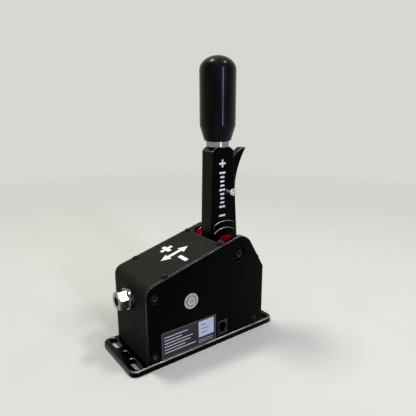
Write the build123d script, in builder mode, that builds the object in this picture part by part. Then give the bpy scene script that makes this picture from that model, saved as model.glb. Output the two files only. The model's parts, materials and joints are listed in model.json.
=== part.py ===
from build123d import *
import math
import os

os.makedirs("parts", exist_ok=True)

# Sequential shifter on a bolt-down base, in millimetres.
# X runs along the base from the preload adjuster to the trigger side, Y across it, Z up.
# The origin is the middle of the base's underside. The label and the socket are on the -Y side.

# Clearances and overruns shared by several pieces
cut_past = 20.0
thread_gap = 0.05
running_gap = 0.06
small_gap = 0.3
loose_gap = 0.35
rim_chamfer = 0.5

# Base plate
base_length = 180.0
base_side_margin = 1.0
base_thickness = 6.2
base_corner = 7.3
base_edge = 0.9
slot_width = 7.0
slot_length = 20.5
slot_from_end = 9.2
slot_from_side = 2.25
centre_hole_radius = 3.3

# Side plates and the outline that they share with the covers
plate_thickness = 7.0
inside_half = 27.0
housing_front = 72.0
housing_rear = 72.5
pivot_x = 37.6
pivot_height = 94.3
hump_radius = 19.2
slope_degrees = 15.3
rear_degrees = 59.4
front_corner = 10.0
rear_corner = 3.0
plate_edge = 0.6

# Sheet covers
sheet_thickness = 1.5
sheet_lip = 2.0
cover_before_pivot = 21.6
cover_ear = 4.6
cover_ear_width = 9.5
rear_cover_below_pivot = 2.3

# Screws of the covers
cover_screw_radius = 1.5
cover_screw_length = 8.0
cover_head_radius = 2.85
cover_head_height = 1.7
cover_head_round = 1.1
cover_socket_radius = 1.15
cover_socket_depth = 1.0
cover_screw_inset = 4.4
cover_screw_from_front = 22.0
cover_screw_from_end = 0.8
rear_screw_from_top = 8.0
rear_screw_low = 30.0

# Screws of the side plates
side_screw_radius = 2.5
side_screw_length = 12.0
side_head_radius = 4.25
side_head_height = 4.6
side_socket_radius = 2.3
side_socket_depth = 2.5
side_bore_radius = 4.75
side_bore_depth = 5.0
tie_rise = 6.6
tie_radius = 5.0
tie_front_inset = 7.2
tie_rear_inset = 10.1

# Screws of the base
base_screw_radius = 2.0
base_screw_length = 18.0
base_head_radius = 4.0
base_head_depth = 2.3
base_screw_from_front_tie = 14.8
base_screw_from_rear_tie = 12.4
base_screw_inset = 3.5
base_socket_radius = 1.4
base_socket_depth = 1.15

# Pivot axle, its screws, bearings and red spacers
axle_radius = 6.0
pivot_screw_radius = 3.0
pivot_screw_length = 14.0
pivot_head_radius = 5.0
pivot_head_height = 3.2
pivot_socket_radius = 2.9
pivot_socket_depth = 2.0
pivot_bore_radius = 8.1
pivot_bore_depth = 4.6
washer_radius = 7.3
washer_thickness = 1.2
bearing_radius = 12.0
bearing_width = 6.0
bearing_inner_wall = 1.5
bearing_outer_wall = 1.5
ball_count = 9
spacer_radius = 14.9
spacer_flange_radius = 17.2
spacer_flange_width = 2.5
spacer_edge = 0.6
spacer_nose = 0.25

# Lever arm
lever_rise = 108.6
lever_half = 8.6
lever_top_front = 13.6
lever_top_rear = 14.6
lever_corner_length = 5.3
lever_corner_drop = 3.7
lever_edge = 0.6
hub_radius = 18.7
low_boss_radius = 30.2
low_boss_height = 0.5
high_boss_radius = 22.9
high_boss_height = 1.0
boss_inset = 4.6
knob_before_pivot = 2.9

# Tail of the lever inside the housing
tail_half_length = 6.5
tail_half_width = 6.0
buffer_above_tail_end = 4.0
magnet_radius = 2.5
magnet_length = 3.0

# Trigger, its slot, pin and spring
trigger_half = 4.4
trigger_pin_from_knob = 6.6
trigger_pin_from_top = 45.9
trigger_boss = 5.0
trigger_travel = 6.0
trigger_slot_below_pin = 6.6
trigger_slot_above_pin = 9.0
trigger_slot_from_knob = 10.7
trigger_pin_radius = 2.2
trigger_pin_head_radius = 3.75
trigger_pin_head = 1.6
trigger_pin_reach = 18.4
trigger_pin_socket = 1.5
trigger_clip_radius = 3.6
trigger_clip_thickness = 0.8
trigger_tip_out = 28.7
trigger_tip_from_top = 2.7
trigger_crest_out = 23.7
trigger_crest_from_top = 2.5
trigger_valley_out = 9.7
trigger_valley_from_top = 11.4
trigger_inner_out = 3.6
trigger_inner_rise = 8.5
trigger_back_out = 13.8
trigger_back_drop = 3.8
trigger_knee_out = 14.8
trigger_knee_rise = 8.5
trigger_belly_out = 19.8
trigger_belly_rise = 26.5
trigger_edge = 0.5
trigger_spring_rise = 16.0
trigger_spring_radius = 2.2
trigger_spring_wire = 0.3
trigger_spring_turns = 5
trigger_spring_seat = 2.6
trigger_magnet_radius = 1.5
trigger_magnet_length = 2.0
trigger_sensor_rise = 27.0
trigger_sensor_half = 2.0
trigger_sensor_thickness = 1.4

# Stud, collar and knob
stud_radius = 4.0
stud_depth = 15.0
stud_in_knob = 22.0
collar_radius = 11.85
collar_height = 6.3
collar_edge = 0.6
knob_base_radius = 13.9
knob_shoulder_radius = 18.4
knob_shoulder_height = 15.3
knob_radius = 18.5
knob_side_height = 68.8
knob_dome_height = 14.3
dome_share = 0.5523
knob_edge = 0.5

# Preload adjuster on the front
rod_below_pivot = 30.5
adjuster_hex_radius = 9.8
adjuster_hex_length = 9.8
adjuster_hex_turn = 42.5
adjuster_hex_chamfer = 0.9
adjuster_hex_bevel = 60.0
adjuster_flange_radius = 10.7
adjuster_flange = 4.3
adjuster_recess_radius = 4.6
adjuster_recess_depth = 5.0
adjuster_journal_radius = 6.0
adjuster_thread_radius = 4.9
adjuster_pitch = 1.5
clip_radius = 8.5
clip_thickness = 1.2
clip_groove = 0.8

# Block behind the front cover that carries the adjuster
front_block_length = 12.0
front_block_below = 12.8
front_block_above = 15.2
front_block_chamfer = 5.2
front_block_screw_inset = 8.6
front_block_screw_rise = 9.2

# Spring housing, held by two pins through the side plates
guide_from_front = 48.7
guide_drop = 4.6
guide_pin_radius = 4.0
guide_cap_radius = 8.35
guide_cap_thickness = 2.6
guide_cap_recess = 2.0
guide_cap_groove_radius = 5.4
guide_cap_groove = 0.6
guide_cap_edge = 0.5
guide_pin_wall = 0.8
housing_length = 45.0
housing_half_width = 14.0
housing_half_height = 13.5
housing_bore = 10.0
bore_gap = 0.25
housing_wall = 6.0
housing_edge = 1.0
ear_radius = 8.0
key_width = 4.0
key_reach = 12.8

# Rod, its collar and fork, springs and seat
rod_radius = 4.0
rod_collar_width = 5.0
rod_tip = 2.0
seat_width = 5.0
seat_travel = 3.0
spring_wire = 0.8
spring_mean_radius = 7.4
spring_turns = 4
fork_front_reach = 23.6
fork_rear_reach = 6.8
fork_bridge = 9.0
fork_half_height = 7.0
fork_half_width = 10.6
fork_pin_radius = 2.5
fork_pin_head_radius = 3.6
fork_pin_head = 1.2
fork_slot_half = 3.7
shift_degrees = 7.0

# Stop block with rubber buffers, on the base under the tail
block_floor = 6.0
block_gap = 0.8
post_length = 4.8
post_drop = 5.0
pedestal_half_length = 9.5
pedestal_drop = 7.0
buffer_radius = 4.2
buffer_thickness = 2.2
buffer_stem_radius = 2.0
block_screw_x = 5.0
block_screw_inset = 4.5

# Circuit boards
board_thickness = 1.6
board_standoff = 9.0
standoff_radius = 2.6
board_front = -34.0
board_rear = 38.0
board_bottom = 9.4
board_below_ear = 8.2
board_hole_inset = 4.0
board_screw_radius = 1.25
board_screw_bite = 4.4
board_screw_head_radius = 2.4
board_screw_head = 1.3
chip_size = 10.0
chip_height = 1.4
chip_from_front = 24.0
chip_rise = 17.6
capacitor_radius = 3.0
capacitor_height = 2.0
capacitor_from_front = 10.0
capacitor_rise = 8.6
plug_length = 7.0
plug_width = 5.0
plug_height = 3.6
plug_before_pivot = 11.6
plug_from_top = 10.0
sensor_board_inset = 3.2
sensor_chip_size = 4.0
sensor_chip_height = 1.5
sensor_plug_width = 2.5
sensor_plug_height = 3.4
lead_radius = 0.8
lead_bends = (2.6, 3.5)

# Socket for the data lead
jack_x = 16.7
jack_height = 17.1
jack_width = 12.2
jack_length = 15.4
jack_recess = 0.3
jack_wall = 1.1
jack_mouth_width = 7.6
jack_mouth_length = 11.8
jack_mouth_depth = 12.0
jack_latch_width = 2.2
jack_latch_length = 6.0
contact_count = 8
contact_pitch = 1.02
contact_radius = 0.2
contact_length = 9.0

# Label plate and the pale tag on it
label_from_jack = 3.5
label_length = 65.2
label_height = 29.2
label_thickness = 0.4
label_corner = 1.2
tag_length = 19.0
tag_height = 17.5
tag_from_rear = 3.1
tag_from_top = 2.2
tag_thickness = 0.15

# Places worked out from the sizes above
outside_half = inside_half + plate_thickness
half_length = base_length / 2
half_width = outside_half + base_side_margin
base_width = 2 * half_width
slope = math.radians(slope_degrees)
rear_slope = math.radians(rear_degrees)
bridge = (slope + rear_slope) / 2
lean = (slope - rear_slope) / 2
rebate_half = outside_half - sheet_lip
sheet_half = rebate_half - small_gap
pivot = (pivot_x, pivot_height)
rod_height = pivot_height - rod_below_pivot
cover_end = pivot_x - cover_before_pivot
rear_cover_top = pivot_height - rear_cover_below_pivot
cover_screw_front = cover_screw_from_front - housing_front
cover_screw_rear = cover_end - cover_screw_from_end
rear_screw_high = rear_cover_top - rear_screw_from_top
tie_height = base_thickness + tie_rise
tie_front_x = tie_front_inset - housing_front
tie_rear_x = housing_rear - tie_rear_inset
boss_half = lever_half + high_boss_height
cover_inner_front = -housing_front + sheet_thickness
slope_touch_x = pivot_x - hump_radius * math.sin(slope)
slope_touch_z = pivot_height + hump_radius * math.cos(slope)
rear_touch_x = pivot_x + hump_radius * math.sin(rear_slope)
rear_touch_z = pivot_height + hump_radius * math.cos(rear_slope)
guide_x = guide_from_front - housing_front
guide_height = rod_height - guide_drop
guide_pin_depth = housing_half_width - housing_bore - guide_pin_wall
housing_start = guide_x - housing_length / 2
housing_end = guide_x + housing_length / 2
adjuster_tip_x = housing_start + seat_width + seat_travel + adjuster_pitch
key_slot_length = seat_width + seat_travel + 2 * adjuster_pitch
bore_end = housing_end - housing_wall
collar_x = (housing_start + seat_width + bore_end) / 2
rod_travel = rod_below_pivot * math.tan(math.radians(shift_degrees))
rod_collar_radius = housing_bore - bore_gap
fork_start = pivot_x - fork_front_reach
fork_end = pivot_x + fork_rear_reach
fork_low = rod_height - fork_half_height
fork_high = rod_height + fork_half_height
post_top = fork_low - block_gap
buffer_height = post_top - post_drop
tail_bottom = buffer_height - buffer_above_tail_end
pedestal_top = tail_bottom - pedestal_drop
board_outer = board_standoff - inside_half
board_inner = board_outer + board_thickness
board_top = guide_height - ear_radius - board_below_ear
block_half_width = -board_inner - plug_height - block_gap
sensor_board_half = block_half_width - sensor_board_inset
block_screw_y = block_half_width - block_screw_inset
knob_x = pivot_x - knob_before_pivot
lever_top = pivot_height + lever_rise
lever_shoulder = lever_top - lever_corner_drop
trigger_pin_x = knob_x + trigger_pin_from_knob
trigger_pin_height = lever_top - trigger_pin_from_top
sky = pivot_height + hump_radius + cut_past
far_front = -housing_front - cut_past
far_rear = housing_rear + cut_past


def slope_z(x):
    """Height of the sloped top edge at x."""
    return slope_touch_z + (x - slope_touch_x) * math.tan(slope)


def rear_x(z):
    """Place of the rear sloped edge at height z."""
    return rear_touch_x + (rear_touch_z - z) / math.tan(rear_slope)


def save(piece, name):
    piece.label = name
    export_step(piece, "parts/" + name + ".step")


def round_y(radius, at, y_from, y_to, mode=Mode.ADD):
    """Round bar along Y at the place at = (x, z)."""
    with BuildSketch(Plane.XZ.offset(-y_from)) as profile:
        with Locations(at):
            Circle(radius)
    extrude(profile.sketch, amount=y_from - y_to, mode=mode)


def round_x(radius, at, x_from, x_to, mode=Mode.ADD):
    """Round bar along X at the place at = (y, z)."""
    with BuildSketch(Plane.YZ.offset(x_from)) as profile:
        with Locations(at):
            Circle(radius)
    extrude(profile.sketch, amount=x_to - x_from, mode=mode)


def round_z(radius, at, z_from, z_to, mode=Mode.ADD):
    """Round bar along Z at the place at = (x, y)."""
    with BuildSketch(Plane.XY.offset(z_from)) as profile:
        with Locations(at):
            Circle(radius)
    extrude(profile.sketch, amount=z_to - z_from, mode=mode)


def block(x_span, y_span, z_span, mode=Mode.ADD):
    """Straight block between the ends of three spans."""
    middle = ((x_span[0] + x_span[1]) / 2, (y_span[0] + y_span[1]) / 2)
    with BuildSketch(Plane.XY.offset(z_span[0])) as profile:
        with Locations(middle):
            Rectangle(x_span[1] - x_span[0], y_span[1] - y_span[0])
    extrude(profile.sketch, amount=z_span[1] - z_span[0], mode=mode)


def cap_screw(head_radius, head_height, radius, length, socket_radius, socket_depth, rounding):
    """Socket head screw with the underside of its head at the origin."""
    with BuildPart() as screw:
        round_z(head_radius, (0, 0), 0, head_height)
        fillet(screw.edges().group_by(Axis.Z)[-1], rounding)
        round_z(radius, (0, 0), -length, 0)
        with BuildSketch(Plane.XY.offset(head_height)):
            RegularPolygon(socket_radius, 6)
        extrude(amount=-socket_depth, mode=Mode.SUBTRACT)
    return screw.part


def coil(mean_radius, wire_radius, length, turns):
    """Closed-end coil spring along Z from the origin, one tube on quarter turn biarcs."""
    rise = (length - 2 * wire_radius) / turns
    pitch_slope = rise / (2 * math.pi)

    def point(angle):
        height = wire_radius + pitch_slope * angle
        return Vector(mean_radius * math.cos(angle), mean_radius * math.sin(angle), height)

    def heading(angle):
        across = Vector(-mean_radius * math.sin(angle), mean_radius * math.cos(angle), pitch_slope)
        return across.normalized()

    with BuildPart() as spring:
        with BuildLine() as path:
            for quarter in range(4 * turns):
                start = quarter * math.pi / 2
                end = start + math.pi / 2
                p0, t0, p1, t1 = point(start), heading(start), point(end), heading(end)
                chord = p1 - p0
                a = 2 * (1 - t0.dot(t1))
                b = 2 * chord.dot(t0 + t1)
                reach = (math.sqrt(b * b + 4 * a * chord.dot(chord)) - b) / (2 * a)
                joint = (p0 + t0 * reach + p1 - t1 * reach) / 2
                turn = (p1 - t1 * reach) - (p0 + t0 * reach)
                TangentArc(p0, joint, tangent=t0)
                TangentArc(joint, p1, tangent=turn.normalized())
        with BuildSketch(Plane(origin=point(0), z_dir=heading(0))):
            Circle(wire_radius)
        sweep(path=path.wire())
    gap = rise * math.cos(math.atan(pitch_slope / mean_radius)) - 2 * wire_radius
    print("coil gap to itself", round(gap, 2))
    return spring.part


def side_outline():
    """Outline of the housing seen from the side, on the XZ plane."""
    peak = hump_radius / math.cos(bridge)
    apex = (pivot_x - peak * math.sin(lean), pivot_height + peak * math.cos(lean))
    nose = (-housing_front, slope_z(-housing_front))
    heel_z = rear_touch_z - (housing_rear - rear_touch_x) * math.tan(rear_slope)
    heel = (housing_rear, heel_z)
    with BuildSketch() as outline:
        with BuildLine():
            toe = (-housing_front, base_thickness)
            Polyline(toe, nose, apex, heel, (housing_rear, base_thickness), close=True)
        make_face()
        fillet(outline.vertices().sort_by_distance(apex)[0], hump_radius)
        fillet(outline.vertices().sort_by_distance(nose)[0], front_corner)
        fillet(outline.vertices().sort_by_distance(heel)[0], rear_corner)
    return outline.sketch


def sheet_band(outline):
    """Band of one sheet thickness just inside the outline."""
    with BuildSketch() as band:
        add(outline)
        offset(outline, amount=-sheet_thickness, mode=Mode.SUBTRACT)
        with Locations(((housing_rear - housing_front) / 2, base_thickness)):
            inner_length = housing_front + housing_rear - 2 * sheet_thickness
            Rectangle(inner_length, 4 * sheet_thickness, mode=Mode.SUBTRACT)
    return band.sketch


def corner_screw_planes():
    """Planes on the sloped edge for the four screws of the top cover."""
    places = []
    for x in (cover_screw_front, cover_screw_rear):
        for side in (-1, 1):
            origin = (x, side * (outside_half - cover_screw_inset), slope_z(x))
            places.append(Plane(origin=origin, z_dir=(-math.sin(slope), 0, math.cos(slope))))
    return places


def rear_screw_planes():
    """Planes for the four screws of the rear cover, two on its slope and two low down."""
    places = []
    for side in (-1, 1):
        y = side * (outside_half - cover_screw_inset)
        high = (rear_x(rear_screw_high), y, rear_screw_high)
        places.append(Plane(origin=high, z_dir=(math.sin(rear_slope), 0, math.cos(rear_slope))))
        places.append(Plane(origin=(housing_rear, y, rear_screw_low), z_dir=(1, 0, 0)))
    return places


def cut_away(x_from, x_to, z_from, z_to):
    """Rectangle taken out of the side view between two places along X and two heights."""
    with Locations(((x_from + x_to) / 2, (z_from + z_to) / 2)):
        Rectangle(x_to - x_from, z_to - z_from, mode=Mode.SUBTRACT)


front_block_screw = (front_block_screw_inset - housing_front, rod_height + front_block_screw_rise)
side_screw_places = (
    front_block_screw,
    (tie_front_x, tie_height),
    (tie_rear_x, tie_height),
)
base_screw_front = tie_front_x + base_screw_from_front_tie
base_screw_rear = tie_rear_x - base_screw_from_rear_tie
base_screw_places = [
    (x, side * (outside_half - base_screw_inset))
    for x in (base_screw_front, (base_screw_front + base_screw_rear) / 2, base_screw_rear)
    for side in (-1, 1)
]
block_screw_places = [(pivot_x + x * block_screw_x, y * block_screw_y) for x in (-1, 1) for y in (-1, 1)]
base_screw_planes = [
    Plane(origin=(x, y, 0), z_dir=(0, 0, -1))
    for x, y in base_screw_places + block_screw_places
]
board_corners = [
    (x, z)
    for x in (board_front + board_hole_inset, board_rear - board_hole_inset)
    for z in (board_bottom + board_hole_inset, board_top - board_hole_inset)
]
outline = side_outline()
band = sheet_band(outline)

# Base plate with four slots along Y and a hole between each pair
slot_x = half_length - slot_from_end
slot_y = half_width - slot_from_side - slot_length / 2
with BuildPart() as base_plate:
    with BuildSketch():
        RectangleRounded(base_length, base_width, base_corner)
    extrude(amount=base_thickness)
    chamfer(base_plate.faces().sort_by(Axis.Z)[-1].edges(), base_edge)
    with BuildSketch(Plane.XY.offset(base_thickness)):
        with GridLocations(2 * slot_x, 2 * slot_y, 2, 2):
            SlotOverall(slot_length, slot_width, rotation=90)
        with GridLocations(2 * slot_x, 0, 2, 1):
            Circle(centre_hole_radius)
    extrude(amount=-base_thickness, mode=Mode.SUBTRACT)
    openings = base_plate.faces().sort_by(Axis.Z)[-1].inner_wires()
    chamfer([edge for wire in openings for edge in wire.edges()], rim_chamfer)
    for place in base_screw_planes:
        with Locations(place):
            CounterSinkHole(base_screw_radius + small_gap, base_head_radius + thread_gap)
save(base_plate.part, "base_plate")


def side_plate(side):
    """Side plate, side -1 for the label side and 1 for the other."""
    inner = Plane.XZ.offset(-side * inside_half)
    face_y = side * outside_half
    with BuildPart() as plate:
        with BuildSketch(inner):
            add(outline)
        extrude(amount=-side * plate_thickness)
        outer = plate.faces().sort_by(Axis.Y)[-1 if side > 0 else 0]
        rim = [edge for edge in outer.outer_wire().edges() if edge.center().Z > base_thickness + plate_edge]
        chamfer(rim, plate_edge)
        inner_face = plate.faces().sort_by(Axis.Y)[0 if side > 0 else -1]
        hump = inner_face.edges().filter_by(GeomType.CIRCLE).sort_by(Axis.Z)[-1]
        chamfer(hump, plate_edge)
        with BuildSketch(inner):
            add(band)
            with Locations(((cover_end + cover_ear + rear_x(rear_cover_top)) / 2 + small_gap, slope_touch_z)):
                gap_length = rear_x(rear_cover_top) - cover_end - cover_ear
                Rectangle(gap_length, 2 * (slope_touch_z - rear_cover_top - small_gap), mode=Mode.SUBTRACT)
        extrude(amount=-side * (rebate_half - inside_half), mode=Mode.SUBTRACT)
        with Locations(Plane(origin=(pivot_x, face_y, pivot_height), z_dir=(0, side, 0))):
            CounterBoreHole(pivot_screw_radius + small_gap, pivot_bore_radius, pivot_bore_depth)
        with Locations(Plane(origin=(guide_x, face_y, guide_height), z_dir=(0, side, 0))):
            CounterBoreHole(guide_pin_radius + thread_gap, guide_cap_radius + small_gap, guide_cap_recess)
        for x, z in side_screw_places:
            with Locations(Plane(origin=(x, face_y, z), z_dir=(0, side, 0))):
                CounterBoreHole(side_screw_radius + small_gap, side_bore_radius, side_bore_depth)
        for place in corner_screw_planes() + rear_screw_planes():
            if place.origin.Y * side > 0:
                with Locations(place):
                    Hole(cover_screw_radius + thread_gap, depth=sheet_thickness + cover_screw_length)
        for place in base_screw_planes:
            if place.origin.Y * side > inside_half:
                with Locations(place):
                    Hole(base_screw_radius + thread_gap, depth=base_screw_length)
        if side < 0:
            window_width = jack_width + 2 * small_gap
            window_length = jack_length + 2 * small_gap
            with BuildSketch(inner):
                with Locations((jack_x, jack_height)):
                    Rectangle(window_width, window_length)
            extrude(amount=plate_thickness, mode=Mode.SUBTRACT)
            for x, z in board_corners:
                with Locations(Plane(origin=(x, -inside_half, z), z_dir=(0, 1, 0))):
                    Hole(board_screw_radius + thread_gap, depth=board_screw_bite)
    return plate.part


save(side_plate(-1), "side_plate_right")
save(side_plate(1), "side_plate_left")

# Top cover, one sheet bent from the front face over the corner and up the slope
with BuildPart() as top_cover:
    with BuildSketch(Plane.XZ):
        add(band)
        cut_away(cover_end, far_rear, 0, sky)
    extrude(amount=sheet_half, both=True)
    with BuildSketch(Plane.XZ):
        add(band)
        cut_away(far_front, cover_end, 0, sky)
        cut_away(cover_end + cover_ear, far_rear, 0, sky)
    extrude(amount=sheet_half, both=True)
    block(
        (cover_end, far_rear),
        (cover_ear_width - sheet_half, sheet_half - cover_ear_width),
        (rod_height, sky),
        mode=Mode.SUBTRACT,
    )
    hole_radius = adjuster_journal_radius + rim_chamfer
    round_x(hole_radius, (0, rod_height), far_front, cover_inner_front, mode=Mode.SUBTRACT)
    for place in corner_screw_planes():
        with Locations(place):
            Hole(cover_screw_radius + small_gap, depth=2 * sheet_thickness)
save(top_cover.part, "top_cover")

# Rear cover, bent from the rear slope down to the base
with BuildPart() as rear_cover:
    with BuildSketch(Plane.XZ):
        add(band)
        cut_away(far_front, far_rear, rear_cover_top, sky)
        cut_away(far_front, pivot_x, 0, sky)
    extrude(amount=sheet_half, both=True)
    for place in rear_screw_planes():
        with Locations(place):
            Hole(cover_screw_radius + small_gap, depth=2 * sheet_thickness)
save(rear_cover.part, "rear_cover")

# Button head screws of the two covers
cover_screw = cap_screw(
    cover_head_radius,
    cover_head_height,
    cover_screw_radius,
    cover_screw_length,
    cover_socket_radius,
    cover_socket_depth,
    cover_head_round,
)
with BuildPart() as top_cover_screws:
    for place in corner_screw_planes():
        with Locations(place):
            add(cover_screw)
save(top_cover_screws.part, "top_cover_screws")
with BuildPart() as rear_cover_screws:
    for place in rear_screw_planes():
        with Locations(place):
            add(cover_screw)
save(rear_cover_screws.part, "rear_cover_screws")

# Socket head screws that hold the side plates to the front block and the tie bars
side_screw = cap_screw(
    side_head_radius,
    side_head_height,
    side_screw_radius,
    side_screw_length,
    side_socket_radius,
    side_socket_depth,
    rim_chamfer,
)
with BuildPart() as side_screws:
    for side in (-1, 1):
        seat_y = side * (outside_half - side_bore_depth)
        for x, z in side_screw_places:
            with Locations(Plane(origin=(x, seat_y, z), z_dir=(0, side, 0))):
                add(side_screw)
save(side_screws.part, "side_screws")

# Countersunk screws up through the base into the side plates and the stop block
with BuildPart() as base_screw:
    round_z(base_screw_radius, (0, 0), -base_screw_length, 0)
    with BuildSketch():
        Circle(base_head_radius)
    head_lean = math.atan((base_head_radius - base_screw_radius) / base_head_depth)
    extrude(amount=-base_head_depth, taper=math.degrees(head_lean))
    with BuildSketch():
        RegularPolygon(base_socket_radius, 6)
    extrude(amount=-base_socket_depth, mode=Mode.SUBTRACT)
with BuildPart() as base_screws:
    for place in base_screw_planes:
        with Locations(place):
            add(base_screw.part)
save(base_screws.part, "base_screws")

# Front block between the side plates, with the plain bore of the adjuster
front_block_end = cover_inner_front + front_block_length
with BuildPart() as front_block:
    heights = (rod_height - front_block_below, rod_height + front_block_above)
    block((cover_inner_front, front_block_end), (-inside_half, inside_half), heights)
    corner = front_block.edges().filter_by(Axis.Y).sort_by(Axis.X).group_by(Axis.X)[0].sort_by(Axis.Z)[-1]
    chamfer(corner, front_block_chamfer)
    bore_radius = adjuster_journal_radius + running_gap
    round_x(bore_radius, (0, rod_height), cover_inner_front, front_block_end, mode=Mode.SUBTRACT)
    for side in (-1, 1):
        place = (front_block_screw[0], side * inside_half, front_block_screw[1])
        with Locations(Plane(origin=place, z_dir=(0, side, 0))):
            Hole(side_screw_radius + thread_gap, depth=side_screw_length)
save(front_block.part, "front_block")


def tie_bar(x):
    """Round bar between the side plates, tapped at both ends."""
    with BuildPart() as bar:
        round_y(tie_radius, (x, tie_height), inside_half, -inside_half)
        for side in (-1, 1):
            with Locations(Plane(origin=(x, side * inside_half, tie_height), z_dir=(0, side, 0))):
                Hole(side_screw_radius + thread_gap, depth=side_screw_length)
    return bar.part


save(tie_bar(tie_front_x), "front_tie_bar")
save(tie_bar(tie_rear_x), "rear_tie_bar")

# Pivot axle clamped between the side plates
with BuildPart() as pivot_axle:
    round_y(axle_radius, pivot, inside_half, -inside_half)
    for side in (-1, 1):
        with Locations(Plane(origin=(pivot_x, side * inside_half, pivot_height), z_dir=(0, side, 0))):
            Hole(pivot_screw_radius + thread_gap, depth=pivot_screw_length)
save(pivot_axle.part, "pivot_axle")

# Screws and washers of the axle
pivot_screw = cap_screw(
    pivot_head_radius,
    pivot_head_height,
    pivot_screw_radius,
    pivot_screw_length,
    pivot_socket_radius,
    pivot_socket_depth,
    rim_chamfer,
)
washer_y = outside_half - pivot_bore_depth
with BuildPart() as pivot_screws:
    for side in (-1, 1):
        seat_y = side * (washer_y + washer_thickness)
        with Locations(Plane(origin=(pivot_x, seat_y, pivot_height), z_dir=(0, side, 0))):
            add(pivot_screw)
save(pivot_screws.part, "pivot_screws")
with BuildPart() as pivot_washers:
    for side in (-1, 1):
        round_y(washer_radius, pivot, side * washer_y, side * (washer_y + washer_thickness))
    round_y(pivot_screw_radius + small_gap, pivot, outside_half, -outside_half, mode=Mode.SUBTRACT)
save(pivot_washers.part, "pivot_washers")

# Ball bearings in the hub, split into their rings and balls
bearing_stop = boss_half - small_gap
bearing_start = bearing_stop - bearing_width
bearing_inner_radius = axle_radius + bearing_inner_wall
ball_track = (bearing_inner_radius + bearing_radius - bearing_outer_wall) / 2
ball_radius = ball_track - bearing_inner_radius - running_gap
with BuildPart() as bearing_inner_rings:
    for side in (-1, 1):
        round_y(bearing_inner_radius, pivot, side * bearing_start, side * bearing_stop)
    round_y(axle_radius + thread_gap, pivot, inside_half, -inside_half, mode=Mode.SUBTRACT)
save(bearing_inner_rings.part, "bearing_inner_rings")
with BuildPart() as bearing_outer_rings:
    for side in (-1, 1):
        round_y(bearing_radius - thread_gap, pivot, side * bearing_start, side * bearing_stop)
    round_y(bearing_radius - bearing_outer_wall, pivot, inside_half, -inside_half, mode=Mode.SUBTRACT)
save(bearing_outer_rings.part, "bearing_outer_rings")
with BuildPart() as bearing_balls:
    for side in (-1, 1):
        middle_y = side * (bearing_start + bearing_stop) / 2
        with Locations(Plane(origin=(pivot_x, middle_y, pivot_height), z_dir=(0, 1, 0))):
            with PolarLocations(ball_track, ball_count):
                Sphere(ball_radius)
save(bearing_balls.part, "bearing_balls")
with BuildPart() as bearing_sleeve:
    round_y(bearing_inner_radius, pivot, bearing_start, -bearing_start)
    round_y(axle_radius + thread_gap, pivot, inside_half, -inside_half, mode=Mode.SUBTRACT)
save(bearing_sleeve.part, "bearing_sleeve")


def pivot_spacer(side):
    """Red spacer between a side plate and the inner ring of a bearing."""
    drum_start = boss_half + small_gap
    flange_start = inside_half - spacer_flange_width
    with BuildPart() as spacer:
        round_y(spacer_radius, pivot, side * drum_start, side * flange_start)
        chamfer(spacer.edges().filter_by(GeomType.CIRCLE), spacer_edge)
        round_y(spacer_flange_radius, pivot, side * flange_start, side * inside_half)
        rims = spacer.edges().filter_by(GeomType.CIRCLE)
        chamfer([rim for rim in rims if rim.radius > spacer_radius], spacer_edge)
        round_y(bearing_inner_radius - spacer_nose, pivot, side * bearing_stop, side * drum_start)
        round_y(axle_radius + thread_gap, pivot, inside_half, -inside_half, mode=Mode.SUBTRACT)
    return spacer.part


save(pivot_spacer(-1), "pivot_spacer_right")
save(pivot_spacer(1), "pivot_spacer_left")


def lever_outline():
    """Side view of the lever above the pivot with its round hub."""
    with BuildSketch() as shape:
        with BuildLine():
            Polyline(
                (pivot_x - hub_radius, pivot_height),
                (knob_x - lever_top_front, lever_shoulder),
                (knob_x - lever_top_front + lever_corner_length, lever_top),
                (knob_x + lever_top_rear - lever_corner_length, lever_top),
                (knob_x + lever_top_rear, lever_shoulder),
                (pivot_x + hub_radius, pivot_height),
                close=True,
            )
        make_face()
        with Locations(pivot):
            Circle(hub_radius)
    return shape.sketch


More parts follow.
